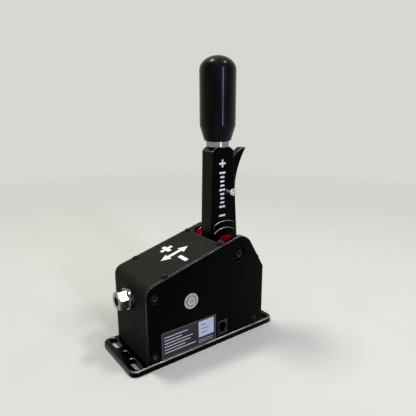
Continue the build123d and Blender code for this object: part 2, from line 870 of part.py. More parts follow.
# Lever arm with its hub, the bosses round the pivot and the tail that works the rod
slot_floor = trigger_pin_x - trigger_boss - 2 * small_gap
slot_half = trigger_half + small_gap
trigger_slot_bottom = trigger_pin_height - trigger_slot_below_pin
trigger_slot_bend = trigger_pin_height + trigger_slot_above_pin
trigger_slot_high_x = knob_x + trigger_slot_from_knob
trigger_spring_height = trigger_pin_height + trigger_spring_rise
trigger_sensor_height = trigger_pin_height + trigger_sensor_rise
sensor_low = trigger_sensor_height - trigger_sensor_half
sensor_high = trigger_sensor_height + trigger_sensor_half
floor_lean = (trigger_slot_high_x - slot_floor) / (lever_top - trigger_slot_bend)
sensor_x = slot_floor + (sensor_low - trigger_slot_bend) * floor_lean - trigger_sensor_thickness
with BuildPart() as lever_arm:
    with BuildSketch(Plane.XZ):
        add(lever_outline())
    extrude(amount=lever_half, both=True)
    uprights = lever_arm.edges().filter_by(lambda edge: edge.length > (lever_top - pivot_height) / 2)
    chamfer(uprights, lever_edge)
    boss_steps = ((low_boss_radius, low_boss_height), (high_boss_radius, high_boss_height))
    for boss_radius, boss_height in boss_steps:
        with BuildSketch(Plane.XZ):
            offset(lever_outline(), amount=-boss_inset)
            with Locations(pivot):
                Circle(boss_radius, mode=Mode.INTERSECT)
        extrude(amount=lever_half + boss_height, both=True)
    block(
        (pivot_x - tail_half_length, pivot_x + tail_half_length),
        (-tail_half_width, tail_half_width),
        (tail_bottom, pivot_height),
    )
    round_y(bearing_radius, pivot, bearing_start, inside_half, mode=Mode.SUBTRACT)
    round_y(bearing_radius, pivot, -bearing_start, -inside_half, mode=Mode.SUBTRACT)
    round_y(bearing_radius - bearing_outer_wall, pivot, inside_half, -inside_half, mode=Mode.SUBTRACT)
    with BuildSketch(Plane.XZ):
        with Locations((pivot_x, rod_height)):
            SlotOverall(2 * fork_slot_half, 2 * (fork_pin_radius + running_gap + thread_gap / 2), rotation=90)
    extrude(amount=tail_half_width, both=True, mode=Mode.SUBTRACT)
    with BuildSketch(Plane.XZ):
        with BuildLine():
            Polyline(
                (slot_floor, trigger_slot_bottom),
                (slot_floor, trigger_slot_bend),
                (trigger_slot_high_x, lever_top),
                (trigger_slot_high_x + cut_past, lever_top),
                (trigger_slot_high_x + cut_past, trigger_slot_bottom),
                close=True,
            )
        make_face()
    extrude(amount=slot_half, both=True, mode=Mode.SUBTRACT)
    round_y(
        trigger_pin_radius + running_gap,
        (trigger_pin_x, trigger_pin_height),
        lever_half,
        -lever_half,
        mode=Mode.SUBTRACT,
    )
    round_x(
        trigger_spring_radius + trigger_spring_wire + loose_gap,
        (0, trigger_spring_height),
        slot_floor - trigger_spring_seat,
        pivot_x,
        mode=Mode.SUBTRACT,
    )
    round_z(stud_radius + thread_gap, (knob_x, 0), lever_top - stud_depth, lever_top, mode=Mode.SUBTRACT)
    magnet_end = tail_bottom + magnet_length
    round_z(magnet_radius + thread_gap, (pivot_x, 0), tail_bottom, magnet_end, mode=Mode.SUBTRACT)
    block(
        (sensor_x, trigger_slot_high_x),
        (-trigger_sensor_half - thread_gap, trigger_sensor_half + thread_gap),
        (sensor_low - thread_gap, sensor_high + thread_gap),
        mode=Mode.SUBTRACT,
    )
save(lever_arm.part, "lever_arm")
with BuildPart() as trigger_sensor:
    block(
        (sensor_x, sensor_x + trigger_sensor_thickness),
        (-trigger_sensor_half, trigger_sensor_half),
        (sensor_low, sensor_high),
    )
save(trigger_sensor.part, "trigger_sensor")
with BuildPart() as shift_magnet:
    round_z(magnet_radius, (pivot_x, 0), tail_bottom, tail_bottom + magnet_length)
save(shift_magnet.part, "shift_magnet")

# Trigger that swings on its pin in the slot at the back of the lever
trigger_tip = (trigger_pin_x + trigger_tip_out, lever_top - trigger_tip_from_top)
trigger_back = (trigger_pin_x + trigger_back_out, trigger_pin_height - trigger_back_drop)
trigger_knee = (trigger_pin_x + trigger_knee_out, trigger_pin_height + trigger_knee_rise)
trigger_belly = (trigger_pin_x + trigger_belly_out, trigger_pin_height + trigger_belly_rise)
trigger_valley_x = trigger_pin_x + trigger_valley_out
trigger_inner_x = trigger_pin_x + trigger_inner_out
with BuildPart() as trigger:
    with BuildSketch(Plane.XZ):
        with BuildLine():
            Polyline(
                trigger_tip,
                (trigger_pin_x + trigger_crest_out, lever_top - trigger_crest_from_top),
                (trigger_valley_x, lever_top - trigger_valley_from_top),
                (trigger_inner_x, trigger_pin_height + trigger_inner_rise),
                (trigger_pin_x, trigger_pin_height + trigger_boss),
                (trigger_pin_x, trigger_pin_height - trigger_boss),
                trigger_back,
                trigger_knee,
            )
            ThreePointArc(trigger_knee, trigger_belly, trigger_tip)
        make_face()
        with Locations((trigger_pin_x, trigger_pin_height)):
            Circle(trigger_boss)
    extrude(amount=trigger_half, both=True)
    sides = trigger.faces().filter_by(Axis.Y)
    chamfer([edge for face in sides for edge in face.edges()], trigger_edge)
    round_y(
        trigger_pin_radius + running_gap,
        (trigger_pin_x, trigger_pin_height),
        lever_half,
        -lever_half,
        mode=Mode.SUBTRACT,
    )
    spring_end = trigger_inner_x + trigger_spring_seat
    round_x(
        trigger_spring_radius + trigger_spring_wire + loose_gap,
        (0, trigger_spring_height),
        slot_floor,
        spring_end,
        mode=Mode.SUBTRACT,
    )
    magnet_x = trigger_valley_x + trigger_magnet_length / 2
    magnet_bore = trigger_magnet_radius + thread_gap
    round_x(magnet_bore, (0, trigger_sensor_height), slot_floor, magnet_x, mode=Mode.SUBTRACT)
save(trigger.part, "trigger")
with BuildPart() as trigger_magnet:
    round_x(trigger_magnet_radius, (0, trigger_sensor_height), magnet_x - trigger_magnet_length, magnet_x)
save(trigger_magnet.part, "trigger_magnet")

# Pin of the trigger with its round head standing out on the label side, and its clip
with BuildPart() as trigger_pin:
    head_y = -(trigger_pin_reach - trigger_pin_head)
    clip_y = lever_half + small_gap
    at = (trigger_pin_x, trigger_pin_height)
    round_y(trigger_pin_head_radius, at, head_y, -trigger_pin_reach)
    fillet(trigger_pin.edges().group_by(Axis.Y)[0], trigger_pin_head / 3)
    round_y(trigger_pin_radius, at, head_y, clip_y + 2 * trigger_clip_thickness)
    with BuildSketch(Plane.XZ.offset(trigger_pin_reach)):
        with Locations(at):
            RegularPolygon(trigger_pin_socket, 6)
    extrude(amount=-trigger_pin_head / 2, mode=Mode.SUBTRACT)
save(trigger_pin.part, "trigger_pin")
with BuildPart() as trigger_pin_clip:
    round_y(trigger_clip_radius, at, clip_y, clip_y + trigger_clip_thickness)
    round_y(trigger_pin_radius + thread_gap, at, clip_y, clip_y + trigger_clip_thickness, mode=Mode.SUBTRACT)
save(trigger_pin_clip.part, "trigger_pin_clip")

# Return spring of the trigger, seated in the lever and in the trigger
spring_start = slot_floor - trigger_spring_seat
spring_length = spring_end - spring_start
trigger_coil = coil(trigger_spring_radius, trigger_spring_wire, spring_length, trigger_spring_turns)
with BuildPart() as trigger_spring:
    with Locations(Plane(origin=(spring_start, 0, trigger_spring_height), z_dir=(1, 0, 0))):
        add(trigger_coil)
save(trigger_spring.part, "trigger_spring")

# Threaded stud, silver collar and knob on top of the lever
collar_top = lever_top + collar_height
with BuildPart() as lever_stud:
    round_z(stud_radius, (knob_x, 0), lever_top - stud_depth, collar_top + stud_in_knob)
save(lever_stud.part, "lever_stud")
with BuildPart() as knob_collar:
    round_z(collar_radius, (knob_x, 0), lever_top, collar_top)
    chamfer(knob_collar.edges(), collar_edge)
    round_z(stud_radius + thread_gap, (knob_x, 0), lever_top, collar_top, mode=Mode.SUBTRACT)
save(knob_collar.part, "knob_collar")
with BuildPart() as knob:
    with BuildSketch(Plane(origin=(knob_x, 0, collar_top), x_dir=(1, 0, 0), z_dir=(0, -1, 0))):
        with BuildLine():
            Polyline(
                (0, knob_side_height + knob_dome_height),
                (0, 0),
                (knob_base_radius - knob_edge, 0),
                (knob_base_radius, knob_edge),
                (knob_shoulder_radius, knob_shoulder_height),
                (knob_radius, knob_side_height),
            )
            knob_top = knob_side_height + knob_dome_height
            Bezier(
                (knob_radius, knob_side_height),
                (knob_radius, knob_side_height + dome_share * knob_dome_height),
                (dome_share * knob_radius, knob_top),
                (0, knob_top),
            )
        make_face()
    revolve(axis=Axis((knob_x, 0, collar_top), (0, 0, 1)))
    round_z(stud_radius + thread_gap, (knob_x, 0), collar_top, collar_top + stud_in_knob, mode=Mode.SUBTRACT)
save(knob.part, "knob")

# Preload adjuster, a hex screw that turns in the front block without moving along
flange_inner = -housing_front - small_gap
flange_outer = flange_inner - adjuster_flange
hex_end = flange_outer - adjuster_hex_length
clip_start = front_block_end + small_gap
clip_end = clip_start + clip_thickness
axis_place = (0, rod_height)
with BuildPart() as adjuster:
    with BuildSketch(Plane.YZ.offset(hex_end)):
        with Locations(axis_place):
            RegularPolygon(adjuster_hex_radius, 6, rotation=adjuster_hex_turn)
    extrude(amount=adjuster_hex_length)
    with BuildSketch(Plane.YZ.offset(hex_end)):
        with Locations(axis_place):
            Circle(adjuster_hex_radius - 2 * adjuster_hex_chamfer)
    extrude(amount=adjuster_hex_length, taper=-adjuster_hex_bevel, mode=Mode.INTERSECT)
    round_x(adjuster_flange_radius, axis_place, flange_outer, flange_inner)
    round_x(adjuster_recess_radius, axis_place, hex_end, hex_end + adjuster_recess_depth, mode=Mode.SUBTRACT)
    round_x(adjuster_journal_radius, axis_place, flange_inner, clip_start)
    round_x(adjuster_journal_radius - clip_groove, axis_place, clip_start, clip_end)
    round_x(adjuster_journal_radius, axis_place, clip_end, clip_end + clip_groove)
    round_x(adjuster_thread_radius, axis_place, clip_end + clip_groove, adjuster_tip_x)
save(adjuster.part, "adjuster")
with BuildPart() as adjuster_clip:
    round_x(clip_radius, axis_place, clip_start, clip_end)
    clip_bore = adjuster_journal_radius - clip_groove + thread_gap
    round_x(clip_bore, axis_place, clip_start, clip_end, mode=Mode.SUBTRACT)
save(adjuster_clip.part, "adjuster_clip")

# Spring housing with an ear on each side for its pins
with BuildPart() as spring_housing:
    block(
        (housing_start, housing_end),
        (-housing_half_width, housing_half_width),
        (rod_height - housing_half_height, rod_height + housing_half_height),
    )
    chamfer(spring_housing.edges().filter_by(Axis.X), housing_edge)
    round_y(ear_radius, (guide_x, guide_height), inside_half, -inside_half)
    round_x(housing_bore, axis_place, housing_start, bore_end, mode=Mode.SUBTRACT)
    round_x(rod_radius + running_gap, axis_place, bore_end, housing_end, mode=Mode.SUBTRACT)
    key_half = key_width / 2 + small_gap / 2
    block(
        (housing_start, housing_start + key_slot_length),
        (-key_half, key_half),
        (rod_height, rod_height + housing_half_height),
        mode=Mode.SUBTRACT,
    )
    for side in (-1, 1):
        with Locations(Plane(origin=(guide_x, side * inside_half, guide_height), z_dir=(0, side, 0))):
            Hole(guide_pin_radius + thread_gap, depth=inside_half - housing_half_width + guide_pin_depth)
save(spring_housing.part, "spring_housing")

# Pins of the spring housing with silver caps outside the side plates
cap_seat = outside_half - guide_cap_recess
with BuildPart() as housing_pin:
    round_z(guide_cap_radius, (0, 0), 0, guide_cap_thickness)
    chamfer(housing_pin.edges().group_by(Axis.Z)[-1], guide_cap_edge)
    round_z(guide_pin_radius, (0, 0), housing_half_width - guide_pin_depth - cap_seat, 0)
    with BuildSketch(Plane.XY.offset(guide_cap_thickness)):
        Circle(guide_cap_groove_radius + guide_cap_groove)
        Circle(guide_cap_groove_radius, mode=Mode.SUBTRACT)
    extrude(amount=-guide_cap_groove, mode=Mode.SUBTRACT)
with BuildPart() as housing_pins:
    for side in (-1, 1):
        with Locations(Plane(origin=(guide_x, side * cap_seat, guide_height), z_dir=(0, side, 0))):
            add(housing_pin.part)
save(housing_pins.part, "housing_pins")

# Spring seat that the adjuster drives along the housing, held from turning by its key
with BuildPart() as spring_seat:
    round_x(rod_collar_radius, axis_place, housing_start, housing_start + seat_width)
    block(
        (housing_start, housing_start + seat_width),
        (-key_width / 2, key_width / 2),
        (rod_height, rod_height + key_reach),
    )
    round_x(adjuster_thread_radius + running_gap, axis_place, housing_start, housing_end, mode=Mode.SUBTRACT)
save(spring_seat.part, "spring_seat")

# Centring rod with its collar between the two springs
collar_start = collar_x - rod_collar_width / 2
collar_end = collar_x + rod_collar_width / 2
with BuildPart() as centring_rod:
    round_x(rod_radius, axis_place, collar_start - rod_tip, fork_start + fork_bridge - small_gap)
save(centring_rod.part, "centring_rod")
with BuildPart() as rod_collar:
    round_x(rod_collar_radius, axis_place, collar_start, collar_end)
    round_x(rod_radius + thread_gap, axis_place, collar_start, collar_end, mode=Mode.SUBTRACT)
save(rod_collar.part, "rod_collar")

# Springs on both sides of the collar
seat_face = housing_start + seat_width
with BuildPart() as front_spring:
    with Locations(Plane(origin=(seat_face, 0, rod_height), z_dir=(1, 0, 0))):
        add(coil(spring_mean_radius, spring_wire, collar_start - seat_face, spring_turns))
save(front_spring.part, "front_spring")
with BuildPart() as rear_spring:
    with Locations(Plane(origin=(collar_end, 0, rod_height), z_dir=(1, 0, 0))):
        add(coil(spring_mean_radius, spring_wire, bore_end - collar_end, spring_turns))
save(rear_spring.part, "rear_spring")

# Fork on the rod, its pin through the tail of the lever and the clip of the pin
tine_half = tail_half_width + loose_gap
with BuildPart() as rod_fork:
    block((fork_start, fork_end), (-fork_half_width, fork_half_width), (fork_low, fork_high))
    fork_gap = (fork_start + fork_bridge, fork_end)
    block(fork_gap, (-tine_half, tine_half), (fork_low, fork_high), mode=Mode.SUBTRACT)
    round_x(rod_radius + thread_gap, axis_place, fork_start, fork_start + fork_bridge, mode=Mode.SUBTRACT)
    round_y(
        fork_pin_radius + thread_gap,
        (pivot_x, rod_height),
        fork_half_width,
        -fork_half_width,
        mode=Mode.SUBTRACT,
    )
    chamfer(rod_fork.edges().filter_by(Axis.X).group_by(Axis.Y)[0], housing_edge)
    chamfer(rod_fork.edges().filter_by(Axis.X).group_by(Axis.Y)[-1], housing_edge)
save(rod_fork.part, "rod_fork")
pin_end = fork_half_width + small_gap + 2 * fork_pin_head
with BuildPart() as fork_pin:
    round_y(fork_pin_head_radius, (pivot_x, rod_height), -fork_half_width, -fork_half_width - fork_pin_head)
    round_y(fork_pin_radius, (pivot_x, rod_height), -fork_half_width, pin_end)
save(fork_pin.part, "fork_pin")
with BuildPart() as fork_pin_clip:
    clip_from = fork_half_width + small_gap
    round_y(fork_pin_head_radius, (pivot_x, rod_height), clip_from, clip_from + fork_pin_head)
    round_y(fork_pin_radius + thread_gap, (pivot_x, rod_height), clip_from, pin_end, mode=Mode.SUBTRACT)
save(fork_pin_clip.part, "fork_pin_clip")

# Stop block on the base, with two posts for the rubber buffers and a pedestal for the sensor
swing = math.radians(shift_degrees)
tail_swing = (pivot_height - tail_bottom) * math.sin(swing) + tail_half_length * math.cos(swing)
buffer_face = tail_swing + small_gap
post_start = buffer_face + buffer_thickness
post_end = post_start + post_length
block_top = base_thickness + block_floor
with BuildPart() as stop_block:
    block(
        (pivot_x - post_end, pivot_x + post_end),
        (-block_half_width, block_half_width),
        (base_thickness, block_top),
    )
    for start, end in ((-post_end, -post_start), (post_start, post_end)):
        block(
            (pivot_x + start, pivot_x + end),
            (-block_half_width, block_half_width),
            (base_thickness, post_top),
        )
    block(
        (pivot_x - pedestal_half_length, pivot_x + pedestal_half_length),
        (-block_half_width, block_half_width),
        (base_thickness, pedestal_top),
    )
    round_x(
        buffer_stem_radius + thread_gap,
        (0, buffer_height),
        pivot_x - post_end,
        pivot_x + post_end,
        mode=Mode.SUBTRACT,
    )
    for place in base_screw_planes[len(base_screw_places):]:
        with Locations(place):
            Hole(base_screw_radius + thread_gap, depth=base_screw_length)
save(stop_block.part, "stop_block")
with BuildPart() as stop_buffers:
    for side in (-1, 1):
        face = pivot_x + side * buffer_face
        back = pivot_x + side * post_start
        stem = pivot_x + side * post_end
        round_x(buffer_radius, (0, buffer_height), min(face, back), max(face, back))
        round_x(buffer_stem_radius, (0, buffer_height), min(back, stem), max(back, stem))
save(stop_buffers.part, "stop_buffers")

# Sensor board on the pedestal, read by the magnet in the tail
sensor_top = pedestal_top + board_thickness
with BuildPart() as sensor_board:
    block(
        (pivot_x - sensor_board_half, pivot_x + sensor_board_half),
        (-sensor_board_half, sensor_board_half),
        (pedestal_top, sensor_top),
    )
save(sensor_board.part, "sensor_board")
with BuildPart() as sensor_parts:
    chip_half = sensor_chip_size / 2
    block(
        (pivot_x - chip_half, pivot_x + chip_half),
        (-chip_half, chip_half),
        (sensor_top, sensor_top + sensor_chip_height),
    )
    block(
        (pivot_x - plug_length / 2, pivot_x + plug_length / 2),
        (-sensor_board_half, sensor_plug_width - sensor_board_half),
        (sensor_top, sensor_top + sensor_plug_height),
    )
save(sensor_parts.part, "sensor_parts")

# Control board on standoffs from the label side plate
chip_x = board_front + chip_from_front
chip_z = board_bottom + chip_rise
capacitor_x = board_front + capacitor_from_front
capacitor_z = board_bottom + capacitor_rise
plug_x = pivot_x - plug_before_pivot
plug_z = board_top - plug_from_top
with BuildPart() as control_board:
    block((board_front, board_rear), (board_outer, board_inner), (board_bottom, board_top))
    for x, z in board_corners:
        round_y(board_screw_radius + small_gap, (x, z), board_inner, board_outer, mode=Mode.SUBTRACT)
save(control_board.part, "control_board")
with BuildPart() as board_standoffs:
    for x, z in board_corners:
        round_y(standoff_radius, (x, z), board_outer, -inside_half)
        round_y(board_screw_radius + small_gap, (x, z), board_outer, -inside_half, mode=Mode.SUBTRACT)
save(board_standoffs.part, "board_standoffs")
with BuildPart() as board_screws:
    for x, z in board_corners:
        round_y(board_screw_head_radius, (x, z), board_inner + board_screw_head, board_inner)
        round_y(board_screw_radius, (x, z), board_inner, -inside_half - board_screw_bite)
save(board_screws.part, "board_screws")
with BuildPart() as board_parts:
    block(
        (chip_x - chip_size / 2, chip_x + chip_size / 2),
        (board_inner, board_inner + chip_height),
        (chip_z - chip_size / 2, chip_z + chip_size / 2),
    )
    round_y(capacitor_radius, (capacitor_x, capacitor_z), board_inner + capacitor_height, board_inner)
    block(
        (plug_x - plug_length / 2, plug_x + plug_length / 2),
        (board_inner, board_inner + plug_height),
        (plug_z - plug_width / 2, plug_z + plug_width / 2),
    )
save(board_parts.part, "board_parts")

# Lead from the sensor board down to the control board
lead_z = sensor_top + sensor_plug_height / 2
lead_y = board_inner + plug_height / 2
with BuildPart() as sensor_lead:
    with BuildLine() as route:
        FilletPolyline(
            (pivot_x, -sensor_board_half, lead_z),
            (pivot_x, lead_y, lead_z),
            (plug_x, lead_y, lead_z),
            (plug_x, lead_y, plug_z + plug_width / 2),
            radius=lead_bends,
        )
    with BuildSketch(Plane(origin=(pivot_x, -sensor_board_half, lead_z), z_dir=(0, -1, 0))):
        Circle(lead_radius)
    sweep(path=route.wire())
save(sensor_lead.part, "sensor_lead")

# Socket for the data lead, turned on its side behind the window of the side plate
jack_face = jack_recess - outside_half
mouth_x = jack_x - jack_width / 2 + jack_wall + jack_mouth_width / 2
latch_x = mouth_x + jack_mouth_width / 2 + jack_latch_width / 2
with BuildPart() as jack:
    block(
        (jack_x - jack_width / 2, jack_x + jack_width / 2),
        (jack_face, board_outer),
        (jack_height - jack_length / 2, jack_height + jack_length / 2),
    )
    with BuildSketch(Plane.XZ.offset(-jack_face)):
        with Locations((mouth_x, jack_height)):
            Rectangle(jack_mouth_width, jack_mouth_length)
        with Locations((latch_x, jack_height)):
            Rectangle(jack_latch_width, jack_latch_length)
    extrude(amount=-jack_mouth_depth, mode=Mode.SUBTRACT)
save(jack.part, "jack")
with BuildPart() as jack_contacts:
    wall_x = mouth_x - jack_mouth_width / 2 + 2 * contact_radius
    back_y = jack_face + jack_mouth_depth
    for index in range(contact_count):
        z = jack_height + (index - (contact_count - 1) / 2) * contact_pitch
        round_y(contact_radius, (wall_x, z), back_y, back_y - contact_length)
save(jack_contacts.part, "jack_contacts")

# Label plate beside the socket and the pale tag on it
label_low = base_thickness + small_gap
label_rear = jack_x - jack_width / 2 - label_from_jack
label_front = label_rear - label_length
tag_rear = label_rear - tag_from_rear
tag_front = tag_rear - tag_length
tag_high = label_low + label_height - tag_from_top
tag_low = tag_high - tag_height
with BuildPart() as label_plate:
    with BuildSketch(Plane.XZ.offset(outside_half)):
        with Locations(((label_front + label_rear) / 2, label_low + label_height / 2)):
            RectangleRounded(label_rear - label_front, label_height, label_corner)
    extrude(amount=label_thickness)
save(label_plate.part, "label_plate")
with BuildPart() as label_tag:
    with BuildSketch(Plane.XZ.offset(outside_half + label_thickness)):
        with Locations(((tag_front + tag_rear) / 2, (tag_low + tag_high) / 2)):
            Rectangle(tag_rear - tag_front, tag_high - tag_low)
    extrude(amount=tag_thickness)
save(label_tag.part, "label_tag")
tip_move = (trigger_tip[1] - trigger_pin_height) * math.radians(trigger_travel)
print("rod travel each way", round(rod_travel, 2))
print("trigger tip travel", round(tip_move, 2))
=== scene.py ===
import bpy
import bmesh
import json
import math
from mathutils import Matrix, Vector


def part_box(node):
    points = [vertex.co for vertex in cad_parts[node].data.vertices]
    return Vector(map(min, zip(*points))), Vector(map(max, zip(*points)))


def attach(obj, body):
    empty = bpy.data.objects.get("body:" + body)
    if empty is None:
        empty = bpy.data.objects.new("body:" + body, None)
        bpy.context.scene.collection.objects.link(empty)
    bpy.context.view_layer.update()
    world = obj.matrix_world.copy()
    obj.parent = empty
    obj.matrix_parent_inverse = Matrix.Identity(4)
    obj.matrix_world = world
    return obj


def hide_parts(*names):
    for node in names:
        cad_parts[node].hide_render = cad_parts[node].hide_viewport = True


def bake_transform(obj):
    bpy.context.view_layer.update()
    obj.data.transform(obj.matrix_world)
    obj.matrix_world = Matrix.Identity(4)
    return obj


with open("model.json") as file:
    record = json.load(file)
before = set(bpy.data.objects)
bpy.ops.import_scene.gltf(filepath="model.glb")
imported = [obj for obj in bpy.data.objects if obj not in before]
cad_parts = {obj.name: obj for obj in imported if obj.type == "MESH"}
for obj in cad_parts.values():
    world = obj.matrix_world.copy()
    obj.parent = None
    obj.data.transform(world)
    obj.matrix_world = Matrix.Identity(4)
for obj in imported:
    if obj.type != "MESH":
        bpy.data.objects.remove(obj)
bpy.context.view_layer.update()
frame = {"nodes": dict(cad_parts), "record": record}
nodes = frame["nodes"]
mm = 0.001
print("frame loaded:", len(nodes), "nodes")


# colours, nodes, and the patterns and masks that the finishes share

noiseSpan = (0.3, 0.7)  # most of a noise pattern lies between these
edgeSpan = (0.004, 0.12)  # how far a rounded normal leaves the true one at a faint and at a full edge
flatSpan, uprightSpan = (0.3, 0.5), (0.8, 0.9)  # a chamfer's normal lies between the two
bevelSamples = 6
wavePeriod = math.pi / 10  # of the wave texture at scale 1
asColour = {"take": 2, "data_type": "RGBA"}  # a Mix of colours: the share in input 0, the colours in 6 and 7


def srgb(hexText):
    # sRGB hex to the linear colour that the shaders take
    channels = [int(hexText[i:i + 2], 16) / 255 for i in (1, 3, 5)]
    linear = [c / 12.92 if c <= 0.04045 else ((c + 0.055) / 1.055) ** 2.4 for c in channels]
    return (*linear, 1.0)


def addNode(tree, kind, inputs=(), take=0, **settings):
    # a shader node with its settings, and its inputs set or linked by name or in their order; gives the
    # output to take, or the node itself where take is None
    node = tree.nodes.new("ShaderNode" + kind)
    for name, value in settings.items():
        setattr(node, name, value)
    for name, value in inputs.items() if isinstance(inputs, dict) else enumerate(inputs):
        if isinstance(value, bpy.types.NodeSocket):
            tree.links.new(value, node.inputs[name])
        else:
            node.inputs[name].default_value = value
    return node if take is None else node.outputs[take]


def startMaterial(name):
    # the material, its node tree, and a position in millimetres in the row frame
    material = bpy.data.materials.new(name)
    material.use_nodes = True
    tree = material.node_tree
    tree.nodes.clear()
    place = addNode(tree, "TexCoord", take="Object")
    return material, tree, addNode(tree, "VectorMath", {0: place, "Scale": 1 / mm}, operation="SCALE")


def finishMaterial(material, tree, inputs):
    shader = addNode(tree, "BsdfPrincipled", inputs)
    addNode(tree, "OutputMaterial", {"Surface": shader}, take=None)
    return material


def patches(tree, place, sizeMm, detail=3.0, roughness=0.55, stretch=(1, 1, 1)):
    # soft noise whose blotches are about sizeMm across
    scaled = addNode(tree, "VectorMath", (place, tuple(s / sizeMm for s in stretch)), operation="MULTIPLY")
    noise = {"Vector": scaled, "Scale": 1.0, "Detail": detail, "Roughness": roughness}
    return addNode(tree, "TexNoise", noise, take="Fac")


def ridges(tree, place, axis, pitchMm, wobble=0.0):
    # parallel tool marks along one axis, or rings round it when axis names a centre
    shape = {"Scale": wavePeriod / pitchMm, "Distortion": wobble, "Detail": 1.0}
    if isinstance(axis, str):
        return addNode(tree, "TexWave", {"Vector": place, **shape}, take="Fac",
                       wave_type="BANDS", bands_direction=axis)
    centred = addNode(tree, "VectorMath", (place, axis["centre"]), operation="SUBTRACT")
    return addNode(tree, "TexWave", {"Vector": centred, **shape}, take="Fac",
                   wave_type="RINGS", rings_direction=axis["about"])


def edgeShare(tree, rounded):
    # 0 on flat stretches, towards 1 where the rounded normal leaves the true one
    true = addNode(tree, "NewGeometry", take="True Normal")
    lined = addNode(tree, "VectorMath", (rounded, true), take="Value", operation="DOT_PRODUCT")
    away = addNode(tree, "Math", (1.0, lined), operation="SUBTRACT")
    return addNode(tree, "MapRange", (away, *edgeSpan, 0.0, 1.0))


def axisShare(tree, axis):
    # how far a face looks along the axis, either way
    true = addNode(tree, "NewGeometry", take="True Normal")
    along = addNode(tree, "SeparateXYZ", (true,), take=axis)
    return addNode(tree, "Math", (along,), operation="ABSOLUTE")


def chamferShare(tree, axis):
    # 1 on faces that lean between flat and upright along the axis, as the machined chamfers do
    leaning = axisShare(tree, axis)
    offFlat = addNode(tree, "MapRange", (leaning, *flatSpan, 0.0, 1.0))
    offUpright = addNode(tree, "MapRange", (leaning, *uprightSpan, 1.0, 0.0))
    return addNode(tree, "Math", (offFlat, offUpright), operation="MULTIPLY")


# finishes, each started from the real material; a group of four numbers maps a pattern from the first two
# to the last two, and the two numbers of "rough" are the roughness at the low and the high end of a pattern

plateLook = {"colour": "#08080a", "tint": "#060608", "cloudMm": 38.0, "rough": (0.22, 0.32),
             "handlingAndGlintMm": 14.0, "grainMm": 0.35, "grainDepthMm": 0.006, "edgeMm": 0.5,
             # the pale edge tone is wear in spots and a painted highlight on edges that face up
             "wearAndGlint": "#505052", "wearAndGlintRough": 0.08, "chipsMm": 3.0, "chips": (0.36, 0.56, 0.15, 1.0),
             "upward": (0.0, 0.35, 0.024, 0.8),
             # the chamfer tone is a painted highlight on chamfers that face along brightAxis, patchy along
             # their length
             "chamferGlintTone": "#5c5c5e", "chamferAxis": "Y", "patchy": (0.35, 0.6, 0.4, 1.0),
             "brightAxis": "Z", "bright": (0.15, 0.6, 0.12, 0.8)}
# the base's chamfers that face along Y get a strong painted highlight
baseLook = dict(plateLook, colour="#0b0b0c", tint="#080809", chamferGlintTone="#b4b3ae", chamferAxis="Z",
                brightAxis="Y", bright=(0.15, 0.6, 0.114, 0.95))
leverLook = dict(plateLook, colour="#0c0c0d", tint="#08080a", rough=(0.2, 0.28), grainMm=0.3,
                 # the lever's pale edge tone is a painted highlight on its upward-facing boss edges, with
                 # wear in spots
                 grainDepthMm=0.005, edgeMm=0.7, wearAndGlint="#d0d0d0", upward=(0.0, 0.35, 0.03, 1.0),
                 chamferGlintTone="#2a2a2b", bright=(0.15, 0.6, 0.25, 0.5))


def anodisedPlate(name, look):
    # bead blasted aluminium, hard anodised black: deep black, satin sheen, edges paler in spots as wear and
    # as a painted highlight where they face up, and chamfers with a painted highlight where they face along
    # brightAxis
    material, tree, place = startMaterial(name)
    rounded = addNode(tree, "Bevel", {"Radius": look["edgeMm"] * mm}, samples=bevelSamples)
    chips = patches(tree, place, look["chipsMm"], detail=6.0, roughness=0.7)
    chips = addNode(tree, "MapRange", (chips, *look["chips"]))
    height = addNode(tree, "SeparateXYZ", (rounded,), take="Z")
    # painted highlight: the pale edge tone only shows where the rounded normal faces up
    upward = addNode(tree, "MapRange", (height, *look["upward"]))
    wearAndGlint = addNode(tree, "Math", (edgeShare(tree, rounded), chips), operation="MULTIPLY")
    wearAndGlint = addNode(tree, "Math", (wearAndGlint, upward), operation="MULTIPLY")
    handlingAndGlintPatches = patches(tree, place, look["handlingAndGlintMm"], detail=4.0, roughness=0.6)
    # painted highlight: chamfers facing along brightAxis take the pale chamfer tone, patchy along their
    # length; the patches also vary the roughness
    bright = addNode(tree, "MapRange", (axisShare(tree, look["brightAxis"]), *look["bright"]))
    patchy = addNode(tree, "MapRange", (handlingAndGlintPatches, *look["patchy"]))
    chamferGlint = addNode(tree, "Math", (chamferShare(tree, look["chamferAxis"]), bright), operation="MULTIPLY")
    chamferGlint = addNode(tree, "Math", (chamferGlint, patchy), operation="MULTIPLY")
    cloud = patches(tree, place, look["cloudMm"], detail=2.0)
    colour = addNode(tree, "Mix", {0: cloud, 6: srgb(look["colour"]), 7: srgb(look["tint"])}, **asColour)
    colour = addNode(tree, "Mix", {0: wearAndGlint, 6: colour, 7: srgb(look["wearAndGlint"])}, **asColour)
    colour = addNode(tree, "Mix", {0: chamferGlint, 6: colour, 7: srgb(look["chamferGlintTone"])}, **asColour)
    rough = addNode(tree, "MapRange", (handlingAndGlintPatches, *noiseSpan, *look["rough"]))
    wearAndGlintRough = addNode(tree, "Math", (wearAndGlint, look["wearAndGlintRough"]), operation="MULTIPLY")
    rough = addNode(tree, "Math", (rough, wearAndGlintRough), operation="ADD")
    grain = patches(tree, place, look["grainMm"], detail=2.0, roughness=0.5)
    normal = addNode(tree, "Bump", {"Height": grain, "Distance": look["grainDepthMm"] * mm,
                                    "Normal": rounded})
    return finishMaterial(material, tree, {"Base Color": colour, "Metallic": 1.0, "Roughness": rough,
                                           "Normal": normal})


sheetLook = {"colour": "#252422", "high": "#2c2b28", "cloudMm": 30.0, "rough": (0.44, 0.57), "roughMm": 11.0,
             "ior": 1.45, "specular": 0.02, "peelMm": 0.6, "peelDepthMm": 0.012,
             "edgeMm": 0.5, "wearAndGlint": "#a8a6a0", "chipsMm": 2.5, "chips": (0.36, 0.52, 0.3, 1.0)}


